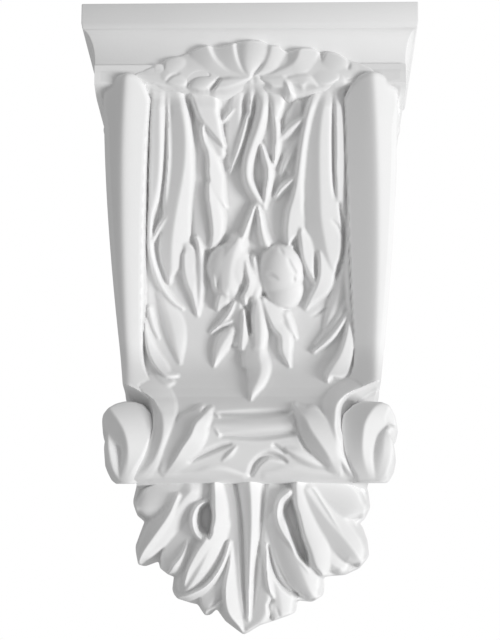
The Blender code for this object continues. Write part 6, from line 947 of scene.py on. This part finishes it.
class Plan:
    """Heights, depths and widths that follow from the sizes."""

    def __init__(self, sizes):
        self.sizes = sizes
        k = sizes
        self.unit = k.width / DRAWN_WIDTH
        self.half = k.height / 2
        self.neck_foot = self.half - k.slab_edge - k.slab_chamfer - k.hollow_height - k.neck_height
        self.body_top = self.neck_foot + BODY_BEHIND_NECK
        self.body_foot = k.scroll_axis_up + k.scroll_radius + BODY_OVER_SCROLL
        self.body_base = k.scroll_axis_up - k.scroll_radius * BODY_BASE_SHARE
        self.volute_inner = k.body_foot_width / 2 - VOLUTE_INSIDE
        self.volute_outer = k.body_foot_width / 2 + VOLUTE_OUTSIDE
        self.neck_depth = k.depth - k.hollow_front

    def seen(self, x, y, z):
        """Where the drawing shows points of the corbel."""
        k = self.sizes
        eye, aim = np.array(DRAWN_EYE), np.array(DRAWN_AIM)
        ahead = (aim - eye) / np.linalg.norm(aim - eye)
        right = np.cross(ahead, (0.0, 0.0, 1.0))
        right /= np.linalg.norm(right)
        up = np.cross(right, ahead)
        drawn = (x * DRAWN_WIDTH / k.width, y * DRAWN_DEPTH / k.depth, z * DRAWN_HEIGHT / k.height)
        point = np.stack(np.broadcast_arrays(*drawn), -1) - eye
        slope = DRAWN_SCALE / (point @ ahead)
        return DRAWN_MIDDLE[0] + slope * (point @ right), DRAWN_MIDDLE[1] + slope * (point @ up)

    def up_body(self, z):
        """A height's share of the body, from the scroll to the neck."""
        return np.clip((z - self.body_foot) / (self.body_top - self.body_foot), 0, 1)

    def half_bars(self, z):
        """Half the width over the bars at a height."""
        k = self.sizes
        share = self.up_body(z)
        width = k.body_foot_width + (k.body_top_width - k.body_foot_width) * share
        bulge = 4 * k.body_bulge * share * (1 - share)
        return width / 2 + bulge - BEHIND_VOLUTE * ease((self.body_foot - z) / k.scroll_radius)

    def half_body(self, z):
        """Half the body's width at a height: it flares out beyond the bars to meet the neck."""
        flare = ease((z - self.neck_foot) / BODY_FLARE_HEIGHT + 1)
        return self.half_bars(z) + self.sizes.body_flare * flare

    def bar_crest(self, z):
        """Depth of the bars' ridges: an S curve from the slab to the scroll."""
        k = self.sizes
        share = self.up_body(z)
        rise = BAR_CURVE * ease(share) + (1 - BAR_CURVE) * share
        return k.bar_foot_depth + (k.bar_top_depth - k.bar_foot_depth) * rise

    def scroll_half(self, x, z):
        """Half width of the scroll, which spreads towards its foot and its top."""
        under = np.maximum(SCROLL_WAIST - z, 0) / SCROLL_SPREAD_HEIGHT
        over = np.maximum(z - SCROLL_WAIST, 0) / SCROLL_SPREAD_HEIGHT
        half = self.sizes.body_foot_width / 2 - SCROLL_NARROWER
        spread = SCROLL_SPREAD * (under ** SCROLL_SPREAD_POWER + over ** SCROLL_TOP_POWER)
        return half + spread - SCROLL_SHIFT * np.sign(x)

    def run_out(self, z):
        """How far the body's front has come forward to meet the scroll."""
        return RUN_OUT * ease((RUN_OUT_TOP - z) / RUN_OUT_HEIGHT)

    def plain_floor(self, z):
        """Depth of the floor between the bars."""
        k = self.sizes
        share = ease(self.up_body(z) * CHANNEL_SHALLOWS)
        return self.bar_crest(z) - (k.channel_foot_deep + (k.channel_deep - k.channel_foot_deep) * share)

    def under_neck(self, z):
        """How far up the cove under the neck a height lies, from 0 at its foot to 1."""
        return np.clip(1 - (self.neck_foot - z) / NECK_COVE, 0, 1)

    def floor_depth(self, z):
        """Depth of the floor as it runs out on to the scroll."""
        k = self.sizes
        floor = self.plain_floor(z) + self.run_out(z)
        floor = floor + NECK_COVE * (1 - np.sqrt(1 - self.under_neck(z) ** 2))
        up = z - k.scroll_axis_up
        roll = k.scroll_axis_depth + np.sqrt(np.maximum(k.scroll_radius ** 2 - up ** 2, 0))
        roll = np.where(np.abs(up) < k.scroll_radius, roll, k.scroll_axis_depth - ROLL_SHORT)
        fillet = SCROLL_FILLET * ease(up / k.scroll_radius) + TINY
        blend = np.clip(0.5 + (roll - floor) / (2 * fillet), 0, 1)
        joined = floor + (roll - floor) * blend + fillet * blend * (1 - blend)
        return np.where(z > k.scroll_axis_up, joined, roll)

    def bar_depth(self, x, z):
        """Depth of the bars: two slopes that meet in a ridge, then a step to the floor."""
        k = self.sizes
        share = self.up_body(z)
        side = np.abs(x)
        curl = BAR_CURL * np.exp(np.minimum(self.body_foot - z, BAR_CURL_END) / BAR_CURL_HEIGHT)
        inner = k.bar_inner_foot + (k.bar_inner_top - k.bar_inner_foot) * share ** BAR_NARROWING - curl
        inner = inner - np.sign(x) * (BAR_SHIFT + BAR_SHIFT_MIDDLE * share * (1 - share))
        ridge = k.bar_ridge_foot + (k.bar_ridge_top - k.bar_ridge_foot) * share
        ridge = ridge + BAR_BULGE * share * (1 - share)
        past = side - ridge
        fall = BAR_EVEN_SLOPE * past + BAR_TURN_SLOPE * (np.hypot(past, BAR_RIDGE_ROUND) - BAR_RIDGE_ROUND)
        fall = fall + BAR_SIDE_SLOPE * np.maximum(side - self.half_bars(z), 0)
        step = BAR_STEP_SLOPE * np.maximum(inner - side, 0)
        outward = past / (k.body_top_width / 2 - k.bar_ridge_top) * BAR_ARCH_OUTER
        across = np.clip(np.maximum(outward, -past / (ridge - inner)), 0, BAR_ARCH_REACH)
        arch = self.neck_foot + BAR_OVER_NECK - BAR_ARCH * across ** BAR_ARCH_POWER
        over = np.clip((z - arch) / BAR_TOP_ROUND + 1, 0, None)
        rounded = 1 - np.sqrt(1 - np.minimum(over, 1) ** 2)
        end = BAR_TOP_ROUND * np.where(over < 1, rounded, 1 + BAR_END_SLOPE * (over - 1))
        foot = FOOT_SLOPE * np.maximum(self.body_foot - BAR_FOOT_SHORT - z, 0)
        under = self.under_neck(z)
        cove = self.neck_depth - BAR_IN_NECK - NECK_COVE * np.sqrt(1 - under ** 2)
        cove = np.where(under > 0, cove, 0.0)
        return np.maximum(self.bar_crest(z) + self.run_out(z) - fall - end - foot, cove) - step


def carved_grid(width, height, cell, front):
    """A carved surface. front gives x, y and z for shares across and up."""
    bm = bmesh.new()
    bmesh.ops.create_grid(bm, x_segments=round(width / cell), y_segments=round(height / cell), size=0.5)
    grid = np.array([vert.co[:] for vert in bm.verts])
    places = np.stack(front(grid[:, 0] + 0.5, grid[:, 1] + 0.5), -1)
    for vert, place in zip(bm.verts, places):
        vert.co = place
    bmesh.ops.triangulate(bm, faces=bm.faces, quad_method="SHORT_EDGE")
    return bm


def back_up(bm, axis, place):
    """Closes a carved surface with straight sides to a flat back at a place along an axis."""
    rim = [edge for edge in bm.edges if edge.is_boundary]
    made = bmesh.ops.extrude_edge_only(bm, edges=rim)["geom"]
    for vert in made:
        if isinstance(vert, bmesh.types.BMVert):
            vert.co[axis] = place
    bmesh.ops.contextual_create(bm, geom=[edge for edge in made if isinstance(edge, bmesh.types.BMEdge)])
    bmesh.ops.recalc_face_normals(bm, faces=bm.faces)


def cut_at_wall(bm):
    """Cuts off what lies behind the wall plane, flat, and closes the cut."""
    geom = bm.verts[:] + bm.edges[:] + bm.faces[:]
    bmesh.ops.bisect_plane(bm, geom=geom, plane_co=(0, 0, 0), plane_no=(0, 1, 0), clear_outer=True)
    bmesh.ops.holes_fill(bm, edges=[edge for edge in bm.edges if edge.is_boundary], sides=0)
    bmesh.ops.recalc_face_normals(bm, faces=bm.faces)


def finish_piece(bm, name):
    """Makes the mesh an object of the corbel in plaster, smooth but for its sharp edges."""
    for vert in bm.verts:
        vert.co.y = max(vert.co.y, cad_low.y)
        vert.co.z = max(vert.co.z, cad_low.z)
    mesh = bpy.data.meshes.new(name)
    bm.to_mesh(mesh)
    bm.free()
    mesh.shade_smooth()
    mesh.set_sharp_from_angle(angle=SMOOTH_ANGLE)
    piece = bpy.data.objects.new(name, mesh)
    bpy.context.scene.collection.objects.link(piece)
    piece.data.materials.append(plaster())
    mark_relief(mesh)
    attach(piece, BODY)
    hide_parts(NODE)
    return piece


def mark_relief(mesh):
    """Writes how far each point stands over or under its surroundings, for the painted shade in hollows and
    the painted highlight on edges.
    """
    count = len(mesh.vertices)

    def read(items, name, width, kind=float):
        values = np.empty(len(items) * width, dtype=kind)
        items.foreach_get(name, values)
        return values.reshape(-1, width)

    places = read(mesh.vertices, "co", 3)
    normals = read(mesh.vertices, "normal", 3)
    ends = read(mesh.edges, "vertices", 2, np.int32)
    degree = np.maximum(np.bincount(ends.ravel(), minlength=count).astype(float), 1)

    def spread(values):
        total = np.zeros_like(values)
        for column in range(values.shape[1]):
            total[:, column] = (np.bincount(ends[:, 0], values[ends[:, 1], column], count)
                                + np.bincount(ends[:, 1], values[ends[:, 0], column], count))
        return 0.5 * values + 0.5 * total / degree[:, None]

    smooth = places
    for _ in range(RELIEF_ROUNDS):
        smooth = spread(smooth)
    relief = np.einsum("ij,ij->i", places - smooth, normals)[:, None]
    for _ in range(RELIEF_SOFT):
        relief = spread(relief)
    layer = mesh.attributes.new("relief", "FLOAT", "POINT")
    layer.data.foreach_set("value", (relief[:, 0] * RELIEF_UNITS).astype(np.float32))


def socket(group, name, kind, out=False):
    """Adds a named input or output to a node group."""
    group.interface.new_socket(name=name, in_out="OUTPUT" if out else "INPUT", socket_type=kind)


def cast_surface():
    """The node group of a cast surface: painted shade and highlight from the relief, faint clouding and a
    fine grain.
    """
    group = bpy.data.node_groups.get("Cast Surface")
    if group:
        return group
    group = bpy.data.node_groups.new("Cast Surface", "ShaderNodeTree")
    socket(group, "Colour", "NodeSocketColor")
    socket(group, "Painted Shade Colour", "NodeSocketColor")
    socket(group, "Painted Highlight Colour", "NodeSocketColor")
    socket(group, "Roughness", "NodeSocketFloat")
    socket(group, "Grain Depth", "NodeSocketFloat")
    socket(group, "Colour", "NodeSocketColor", out=True)
    socket(group, "Roughness", "NodeSocketFloat", out=True)
    socket(group, "Normal", "NodeSocketVector", out=True)
    nodes, links = group.nodes, group.links
    given = nodes.new("NodeGroupInput")
    result = nodes.new("NodeGroupOutput")
    place = nodes.new("ShaderNodeTexCoord")
    relief = nodes.new("ShaderNodeAttribute")
    relief.attribute_name = "relief"

    def ranged(low, high):
        node = nodes.new("ShaderNodeMapRange")
        node.inputs["From Min"].default_value = low
        node.inputs["From Max"].default_value = high
        links.new(relief.outputs["Fac"], node.inputs["Value"])
        return node.outputs["Result"]

    def mixed(share, first, second):
        node = nodes.new("ShaderNodeMix")
        node.data_type = "RGBA"
        links.new(share, node.inputs["Factor"])
        links.new(first, node.inputs["A"])
        links.new(second, node.inputs["B"])
        return node.outputs["Result"]

    # painted shade: the colour darkens in the hollows
    with_painted_shade = mixed(ranged(*PAINTED_SHADE_RELIEF), given.outputs["Colour"], given.outputs["Painted Shade Colour"])
    # painted highlight: the colour lightens on sharp edges
    edged = mixed(ranged(*PAINTED_HIGHLIGHT_RELIEF), with_painted_shade, given.outputs["Painted Highlight Colour"])
    clouds = nodes.new("ShaderNodeTexNoise")
    clouds.inputs["Scale"].default_value = CLOUD_SCALE
    clouds.inputs["Detail"].default_value = CLOUD_DETAIL
    links.new(place.outputs["Object"], clouds.inputs["Vector"])
    faint = nodes.new("ShaderNodeMapRange")
    faint.inputs["To Min"].default_value, faint.inputs["To Max"].default_value = CLOUD_TONE
    links.new(clouds.outputs["Fac"], faint.inputs["Value"])
    tone = nodes.new("ShaderNodeVectorMath")
    tone.operation = "MULTIPLY"
    links.new(edged, tone.inputs[0])
    links.new(faint.outputs["Result"], tone.inputs[1])
    links.new(tone.outputs["Vector"], result.inputs["Colour"])

    rough = nodes.new("ShaderNodeMath")
    rough.operation = "MULTIPLY_ADD"
    rough.inputs[1].default_value = CLOUD_ROUGHNESS
    links.new(clouds.outputs["Fac"], rough.inputs[0])
    links.new(given.outputs["Roughness"], rough.inputs[2])
    links.new(rough.outputs["Value"], result.inputs["Roughness"])

    grain = nodes.new("ShaderNodeTexNoise")
    grain.inputs["Scale"].default_value = GRAIN_SCALE
    grain.inputs["Detail"].default_value = GRAIN_DETAIL
    links.new(place.outputs["Object"], grain.inputs["Vector"])
    bump = nodes.new("ShaderNodeBump")
    bump.inputs["Strength"].default_value = GRAIN_STRENGTH
    links.new(given.outputs["Grain Depth"], bump.inputs["Distance"])
    links.new(grain.outputs["Fac"], bump.inputs["Height"])
    links.new(bump.outputs["Normal"], result.inputs["Normal"])
    return group


def plaster():
    """Matt white cast plaster, with painted shade in its hollows and a painted highlight on its edges."""
    material = bpy.data.materials.get("cast_plaster")
    if material:
        return material
    finish = bpy.context.scene.corbel_finish
    material = bpy.data.materials.new("cast_plaster")
    material.use_nodes = True
    nodes, links = material.node_tree.nodes, material.node_tree.links
    shader = nodes["Principled BSDF"]
    surface = nodes.new("ShaderNodeGroup")
    surface.node_tree = cast_surface()
    surface.inputs["Colour"].default_value = finish.plaster_colour
    surface.inputs["Painted Shade Colour"].default_value = finish.painted_shade_colour
    surface.inputs["Painted Highlight Colour"].default_value = finish.painted_highlight_colour
    surface.inputs["Roughness"].default_value = finish.roughness
    surface.inputs["Grain Depth"].default_value = finish.grain
    links.new(surface.outputs["Colour"], shader.inputs["Base Color"])
    links.new(surface.outputs["Roughness"], shader.inputs["Roughness"])
    links.new(surface.outputs["Normal"], shader.inputs["Normal"])
    shader.inputs["Metallic"].default_value = 0.0
    shader.inputs["Specular IOR Level"].default_value = PLASTER_SHEEN
    return material


class CORBEL_OT_slab(Operator):
    """Makes the slab with its chamfer, hollow and neck"""

    bl_idname = "corbel.slab"
    bl_label = "Slab"

    def execute(self, context):
        plan = Plan(context.scene.corbel_sizes)
        k = plan.sizes
        under = plan.half - k.slab_edge
        hollow = under - k.slab_chamfer
        profile = [(0.0, plan.half), (0.0, under), (CHAMFER_IN, hollow)]
        for number in range(1, HOLLOW_STEPS + 1):
            turn = math.pi / 2 * number / HOLLOW_STEPS
            inset = CHAMFER_IN + (k.hollow_deep - CHAMFER_IN) * math.sin(turn)
            profile.append((inset, hollow - k.hollow_height * (1 - math.cos(turn))))
        profile.append((k.hollow_deep, plan.neck_foot))
        bm = bmesh.new()
        rings = []
        for inset, z in profile:
            side, front = k.width / 2 - inset, k.depth - inset * k.hollow_front / k.hollow_deep
            corners = [(-side, 0.0), (-side, -front), (side, -front), (side, 0.0)]
            verts = [bm.verts.new((x, y, z)) for x, y in corners]
            rings.append([bm.edges.new((verts[n], verts[(n + 1) % 4])) for n in range(4)])
        for above, below in zip(rings, rings[1:]):
            bmesh.ops.bridge_loops(bm, edges=above + below)
        for ring in (rings[0], rings[-1]):
            bmesh.ops.contextual_create(bm, geom=ring)
        bmesh.ops.recalc_face_normals(bm, faces=bm.faces)
        sharp = [edge for edge in bm.edges if edge.calc_face_angle(0) > BEVEL_ANGLE
                 and not all(abs(vert.co.y) < TINY for vert in edge.verts)]
        bmesh.ops.bevel(bm, geom=sharp, offset=SLAB_BEVEL, affect="EDGES", segments=2, profile=0.5,
                        material=-1)
        finish_piece(bm, "corbel_slab")
        return {"FINISHED"}


class CORBEL_OT_body(Operator):
    """Makes the body between its two rolls, the carved leaves and the scroll below them"""

    bl_idname = "corbel.body"
    bl_label = "Body and Leaves"

    def execute(self, context):
        plan = Plan(context.scene.corbel_sizes)
        detail = context.scene.corbel_detail
        k = plan.sizes
        sheet = Sheet((-62, 62), (64, 290), detail.drawing_step, 0)
        carve_side_leaves(sheet)
        carve_centre(sheet)
        carve_scroll(sheet)
        sheet.soften(detail.soften)

        def front(s, t):
            z = plan.body_base + (plan.body_top + BODY_IN_NECK - plan.body_base) * t
            x = (2 * s - 1) * plan.half_body(z)
            floor = plan.floor_depth(z)
            u, v = plan.seen(x, -floor, z)
            height = sheet.at(u, v) * plan.unit
            inside = plan.scroll_half(x, z) - np.abs(x)
            beyond = SCROLL_END_SLOPE * np.maximum(-inside, 0)
            below = ease((plan.body_foot - z) / FOOT_BLEND + 0.5)
            plain = plan.plain_floor(z)
            lowest = plain + (k.scroll_axis_depth - CORE_BEHIND - plain) * below
            height = height * (1 - below * (1 - ease(inside / SCROLL_END_FADE)))
            floor = np.maximum(floor - beyond, np.minimum(lowest, floor))
            bars = plan.bar_depth(x, z)
            bars = np.maximum(bars - beyond, np.minimum(lowest, bars))
            height = height * (1 - LEAF_FADE * ease(plan.under_neck(z)))
            carved = floor + height
            drop = np.where(carved > bars, height, 0.0)
            fade = ease((plan.body_top - z) / LEAN_FADE_TOP) * ease((z - plan.body_base) / LEAN_FADE_FOOT)
            return x, -np.maximum(carved, bars), z - LEAN * drop * fade

        bm = carved_grid(k.body_top_width, plan.body_top - plan.body_base, detail.cell, front)
        back_up(bm, 1, -BACK_GAP)
        finish_piece(bm, "corbel_body")
        return {"FINISHED"}


class CORBEL_OT_crest(Operator):
    """Makes the flower and its leafy band on the neck"""

    bl_idname = "corbel.crest"
    bl_label = "Crest"

    def execute(self, context):
        plan = Plan(context.scene.corbel_sizes)
        detail = context.scene.corbel_detail
        k = plan.sizes
        sheet = Sheet((-72, 72), (262, 306), detail.drawing_step, -9)
        carve_crest(sheet)
        sheet.keep_within(CREST_OUTLINE)
        sheet.soften(detail.soften)
        base = plan.neck_depth - CREST_SUNK
        low, high = plan.neck_foot - CREST_BELOW, plan.neck_foot + CREST_ABOVE
        half = k.body_top_width / 2 - CREST_NARROWER

        def front(s, t):
            z = low + (high - low) * t
            x = (2 * s - 1) * half
            u, v = plan.seen(x, -base, z)
            height = sheet.at(u, v)
            height = height - CREST_FALL * np.maximum(CREST_GROUND - height, 0)
            height = np.maximum(height, CREST_HIDDEN) * plan.unit
            height = np.minimum(height, k.depth - CREST_BACK - base)
            return x, -(base + height), z - LEAN * np.maximum(height, 0)

        bm = carved_grid(2 * half, high - low, detail.cell * FINER, front)
        back_up(bm, 1, CREST_ROOT - base)
        finish_piece(bm, "corbel_crest")
        return {"FINISHED"}


class CORBEL_OT_hanging_leaf(Operator):
    """Makes the leaf that hangs below the scroll and leans back to the wall"""

    bl_idname = "corbel.hanging_leaf"
    bl_label = "Hanging Leaf"

    def execute(self, context):
        plan = Plan(context.scene.corbel_sizes)
        detail = context.scene.corbel_detail
        k = plan.sizes
        sheet = Sheet((-66, 66), (-8, 92), detail.drawing_step, -22)
        carve_pendant(sheet)
        sheet.keep_within(LEAF_OUTLINE)
        sheet.soften(detail.soften)
        low, high = -plan.half - LEAF_MARGIN, k.scroll_axis_up - k.scroll_radius * LEAF_ROOT
        half = k.body_foot_width / 2
        lowest = cad_low.z

        def front(s, t):
            z = low + (high - low) * t
            x = (2 * s - 1) * half
            share = np.clip((z + plan.half) / (k.scroll_axis_up - k.scroll_radius + plan.half), 0, 1)
            base = k.leaf_tip_depth + (k.leaf_top_depth - k.leaf_tip_depth) * np.sin(share * math.pi / 2)
            u, v = plan.seen(x, -base, z)
            height = sheet.at(u, v) * plan.unit
            depth = np.maximum(base + height, CUT_BACK)
            z = z - LEAF_LEAN * (depth - base)
            return x, -depth, np.where(z < lowest, lowest + (z - lowest) * LEAF_FLATTENED, z)

        bm = carved_grid(2 * half, high - low, detail.cell * FINER, front)
        back_up(bm, 1, BURIED)
        cut_at_wall(bm)
        finish_piece(bm, "corbel_hanging_leaf")
        return {"FINISHED"}


class CORBEL_OT_volutes(Operator):
    """Makes the rolled ends of the scroll, round at the back"""

    bl_idname = "corbel.volutes"
    bl_label = "Volutes"

    def execute(self, context):
        plan = Plan(context.scene.corbel_sizes)
        detail = context.scene.corbel_detail
        sheet = Sheet((-84, 84), (66, 130), detail.drawing_step, 0)
        carve_volutes(sheet)
        sheet.soften(detail.soften)
        for side, name in ((1, "corbel_volute_right"), (-1, "corbel_volute_left")):
            self.make(plan, detail, sheet, side, name)
        return {"FINISHED"}

    def make(self, plan, detail, sheet, side, name):
        """One rolled end, cut from a carved block by a round bar."""
        k = plan.sizes
        inner, outer = plan.volute_inner, plan.volute_outer
        tall = k.volute_radius + VOLUTE_MARGIN
        middle = k.scroll_axis_depth + k.volute_forward
        radius = k.volute_radius + DRUM_OVER

        def front(s, t):
            z = k.scroll_axis_up + (2 * t - 1) * tall
            x = side * (inner + (outer - inner) * s)
            u, v = plan.seen(x, -middle - k.volute_radius * VOLUTE_DRAWN, z)
            up = (z - k.scroll_axis_up) / radius
            height = sheet.at(u, v) * plan.unit
            rounded = height * np.sqrt(np.clip(1 - up ** 2, VOLUTE_FLATTENED, 1))
            return x, -np.maximum(middle + np.where(height > 0, rounded, height), CUT_BACK), z

        bm = carved_grid(outer - inner, 2 * tall, detail.cell * FINER, front)
        back_up(bm, 1, BURIED)
        piece = finish_piece(bm, name)
        round_off(piece, (side * (inner + outer) / 2, -middle, k.scroll_axis_up), radius,
                  (outer - inner) * DRUM_LONG)


def round_off(piece, centre, radius, length):
    """Keeps only what lies in a round bar along X."""
    bm = bmesh.new()
    bmesh.ops.create_cone(bm, cap_ends=True, segments=DRUM_SEGMENTS, radius1=radius, radius2=radius,
                          depth=length)
    for vert in bm.verts:
        x, y, z = vert.co
        vert.co = (z + centre[0], y + centre[1], x + centre[2])
    bmesh.ops.recalc_face_normals(bm, faces=bm.faces)
    mesh = bpy.data.meshes.new("bar")
    bm.to_mesh(mesh)
    bm.free()
    bar = bpy.data.objects.new("bar", mesh)
    bpy.context.scene.collection.objects.link(bar)
    cut = piece.modifiers.new("Round", "BOOLEAN")
    cut.operation = "INTERSECT"
    cut.object = bar
    cut.solver = "MANIFOLD"
    graph = bpy.context.evaluated_depsgraph_get()
    shaped = bpy.data.meshes.new_from_object(piece.evaluated_get(graph))
    piece.modifiers.clear()
    piece.data = shaped
    shaped.shade_smooth()
    shaped.set_sharp_from_angle(angle=SMOOTH_ANGLE)
    bpy.data.objects.remove(bar)


class CORBEL_OT_cheeks(Operator):
    """Makes the S scrolls on the body's sides"""

    bl_idname = "corbel.cheeks"
    bl_label = "Cheeks"

    def execute(self, context):
        plan = Plan(context.scene.corbel_sizes)
        detail = context.scene.corbel_detail
        k = plan.sizes
        sheet = Sheet((0, 112), (110, 270), detail.drawing_step * CHEEK_COARSER, -4)
        carve_cheek(sheet)
        sheet.soften(detail.soften)
        low, high = plan.body_foot + CHEEK_OVER_FOOT, plan.neck_foot + CHEEK_OVER_NECK
        for side, name in ((1, "corbel_cheek_right"), (-1, "corbel_cheek_left")):
            def front(s, t, side=side):
                z = low + (high - low) * t
                depth = CHEEK_BACK + (plan.bar_crest(z) - CHEEK_EDGE - CHEEK_BACK) * s
                height = sheet.at(depth / k.depth * DRAWN_DEPTH, (z / k.height + 0.5) * DRAWN_HEIGHT)
                height = np.maximum(height, CHEEK_LOWEST) * plan.unit
                return side * (plan.half_body(z) - CHEEK_SUNK + height), -depth, z

            bm = carved_grid(CHEEK_LENGTH, high - low, detail.cell * CHEEK_COARSER, front)
            back_up(bm, 0, side * (k.body_foot_width / 2 - CHEEK_INNER))
            finish_piece(bm, name)
        return {"FINISHED"}


def plain_material(name, colour):
    """A plain matt material with faint clouds in its tone."""
    material = bpy.data.materials.new(name)
    material.use_nodes = True
    nodes, links = material.node_tree.nodes, material.node_tree.links
    shader = nodes["Principled BSDF"]
    shader.inputs["Roughness"].default_value = FLOOR_ROUGHNESS
    place = nodes.new("ShaderNodeTexCoord")
    clouds = nodes.new("ShaderNodeTexNoise")
    clouds.inputs["Scale"].default_value = FLOOR_CLOUD_SCALE
    links.new(place.outputs["Object"], clouds.inputs["Vector"])
    tone = nodes.new("ShaderNodeMix")
    tone.data_type = "RGBA"
    tone.inputs["A"].default_value = colour
    lighter = [min(1.0, channel * FLOOR_CLOUD_TONE) for channel in colour[:3]]
    tone.inputs["B"].default_value = lighter + [1.0]
    links.new(clouds.outputs["Fac"], tone.inputs["Factor"])
    links.new(tone.outputs["Result"], shader.inputs["Base Color"])
    return material


class CORBEL_OT_studio(Operator):
    """Makes the floor, the lights and the camera"""

    bl_idname = "corbel.studio"
    bl_label = "Studio"

    def execute(self, context):
        studio = context.scene.corbel_studio
        scene = context.scene
        bm = bmesh.new()
        bmesh.ops.create_grid(bm, x_segments=8, y_segments=8, size=FLOOR_SIZE)
        bmesh.ops.translate(bm, verts=bm.verts, vec=(0, 0, cad_low.z - studio.floor_drop))
        mesh = bpy.data.meshes.new("floor")
        bm.to_mesh(mesh)
        bm.free()
        floor = bpy.data.objects.new("floor", mesh)
        floor.data.materials.append(plain_material("pale_floor", studio.floor_colour))
        scene.collection.objects.link(floor)

        aim = Vector(DRAWN_AIM) / DRAWN_PER_METRE
        self.add_area(scene, "key", KEY_PLACE, aim, KEY_SIZE, studio.key_power)
        self.add_world(scene, studio)

        lens = bpy.data.cameras.new("camera")
        lens.sensor_fit = "HORIZONTAL"
        lens.angle = LENS_ANGLE
        lens.shift_x, lens.shift_y = LENS_SHIFT
        lens.clip_start = LENS_NEAR
        camera = bpy.data.objects.new("camera", lens)
        camera.location = Vector(DRAWN_EYE) / DRAWN_PER_METRE
        camera.rotation_euler = (aim - camera.location).to_track_quat("-Z", "Y").to_euler()
        scene.collection.objects.link(camera)
        scene.camera = camera
        scene.view_settings.view_transform = "Standard"
        return {"FINISHED"}

    def add_area(self, scene, name, place, aim, size, power):
        """A square soft light that points at the corbel."""
        light = bpy.data.lights.new(name, "AREA")
        light.size = size
        light.energy = power
        lamp = bpy.data.objects.new(name, light)
        lamp.location = place
        lamp.rotation_euler = (aim - Vector(place)).to_track_quat("-Z", "Y").to_euler()
        scene.collection.objects.link(lamp)

    def add_world(self, scene, studio):
        """An even fill from all round, and a white backdrop for the camera."""
        world = bpy.data.worlds.new("studio")
        scene.world = world
        world.use_nodes = True
        nodes, links = world.node_tree.nodes, world.node_tree.links
        fill = nodes["Background"]
        fill.inputs["Color"].default_value = WHITE
        fill.inputs["Strength"].default_value = studio.fill
        backdrop = nodes.new("ShaderNodeBackground")
        backdrop.inputs["Color"].default_value = WHITE
        backdrop.inputs["Strength"].default_value = studio.backdrop
        path = nodes.new("ShaderNodeLightPath")
        mix = nodes.new("ShaderNodeMixShader")
        links.new(path.outputs["Is Camera Ray"], mix.inputs["Fac"])
        links.new(fill.outputs["Background"], mix.inputs[1])
        links.new(backdrop.outputs["Background"], mix.inputs[2])
        links.new(mix.outputs["Shader"], nodes["World Output"].inputs["Surface"])


class CORBEL_PT_panel(Panel):
    """Lists the corbel's operators and settings."""

    bl_idname = "CORBEL_PT_panel"
    bl_label = "Corbel"
    bl_space_type = "VIEW_3D"
    bl_region_type = "UI"
    bl_category = "Corbel"

    def draw(self, context):
        column = self.layout.column(align=True)
        for operator in OPERATORS:
            column.operator(operator.bl_idname)
        for name, group in SETTINGS.items():
            box = self.layout.box()
            settings = getattr(context.scene, name)
            for field in group.__annotations__:
                box.prop(settings, field)


OPERATORS = (CORBEL_OT_slab, CORBEL_OT_body, CORBEL_OT_crest, CORBEL_OT_hanging_leaf,
             CORBEL_OT_volutes, CORBEL_OT_cheeks, CORBEL_OT_studio)
SETTINGS = {"corbel_sizes": CorbelSizes, "corbel_detail": CorbelDetail,
            "corbel_finish": CorbelFinish, "corbel_studio": CorbelStudio}


def register():
    for cls in (*SETTINGS.values(), *OPERATORS, CORBEL_PT_panel):
        bpy.utils.register_class(cls)
    for name, group in SETTINGS.items():
        setattr(bpy.types.Scene, name, PointerProperty(type=group))


def unregister():
    for name in SETTINGS:
        delattr(bpy.types.Scene, name)
    for cls in reversed((*SETTINGS.values(), *OPERATORS, CORBEL_PT_panel)):
        bpy.utils.unregister_class(cls)


def main():
    register()
    bpy.ops.corbel.slab()
    bpy.ops.corbel.body()
    bpy.ops.corbel.crest()
    bpy.ops.corbel.hanging_leaf()
    bpy.ops.corbel.volutes()
    bpy.ops.corbel.cheeks()
    bpy.ops.corbel.studio()


if __name__ == "__main__":
    main()
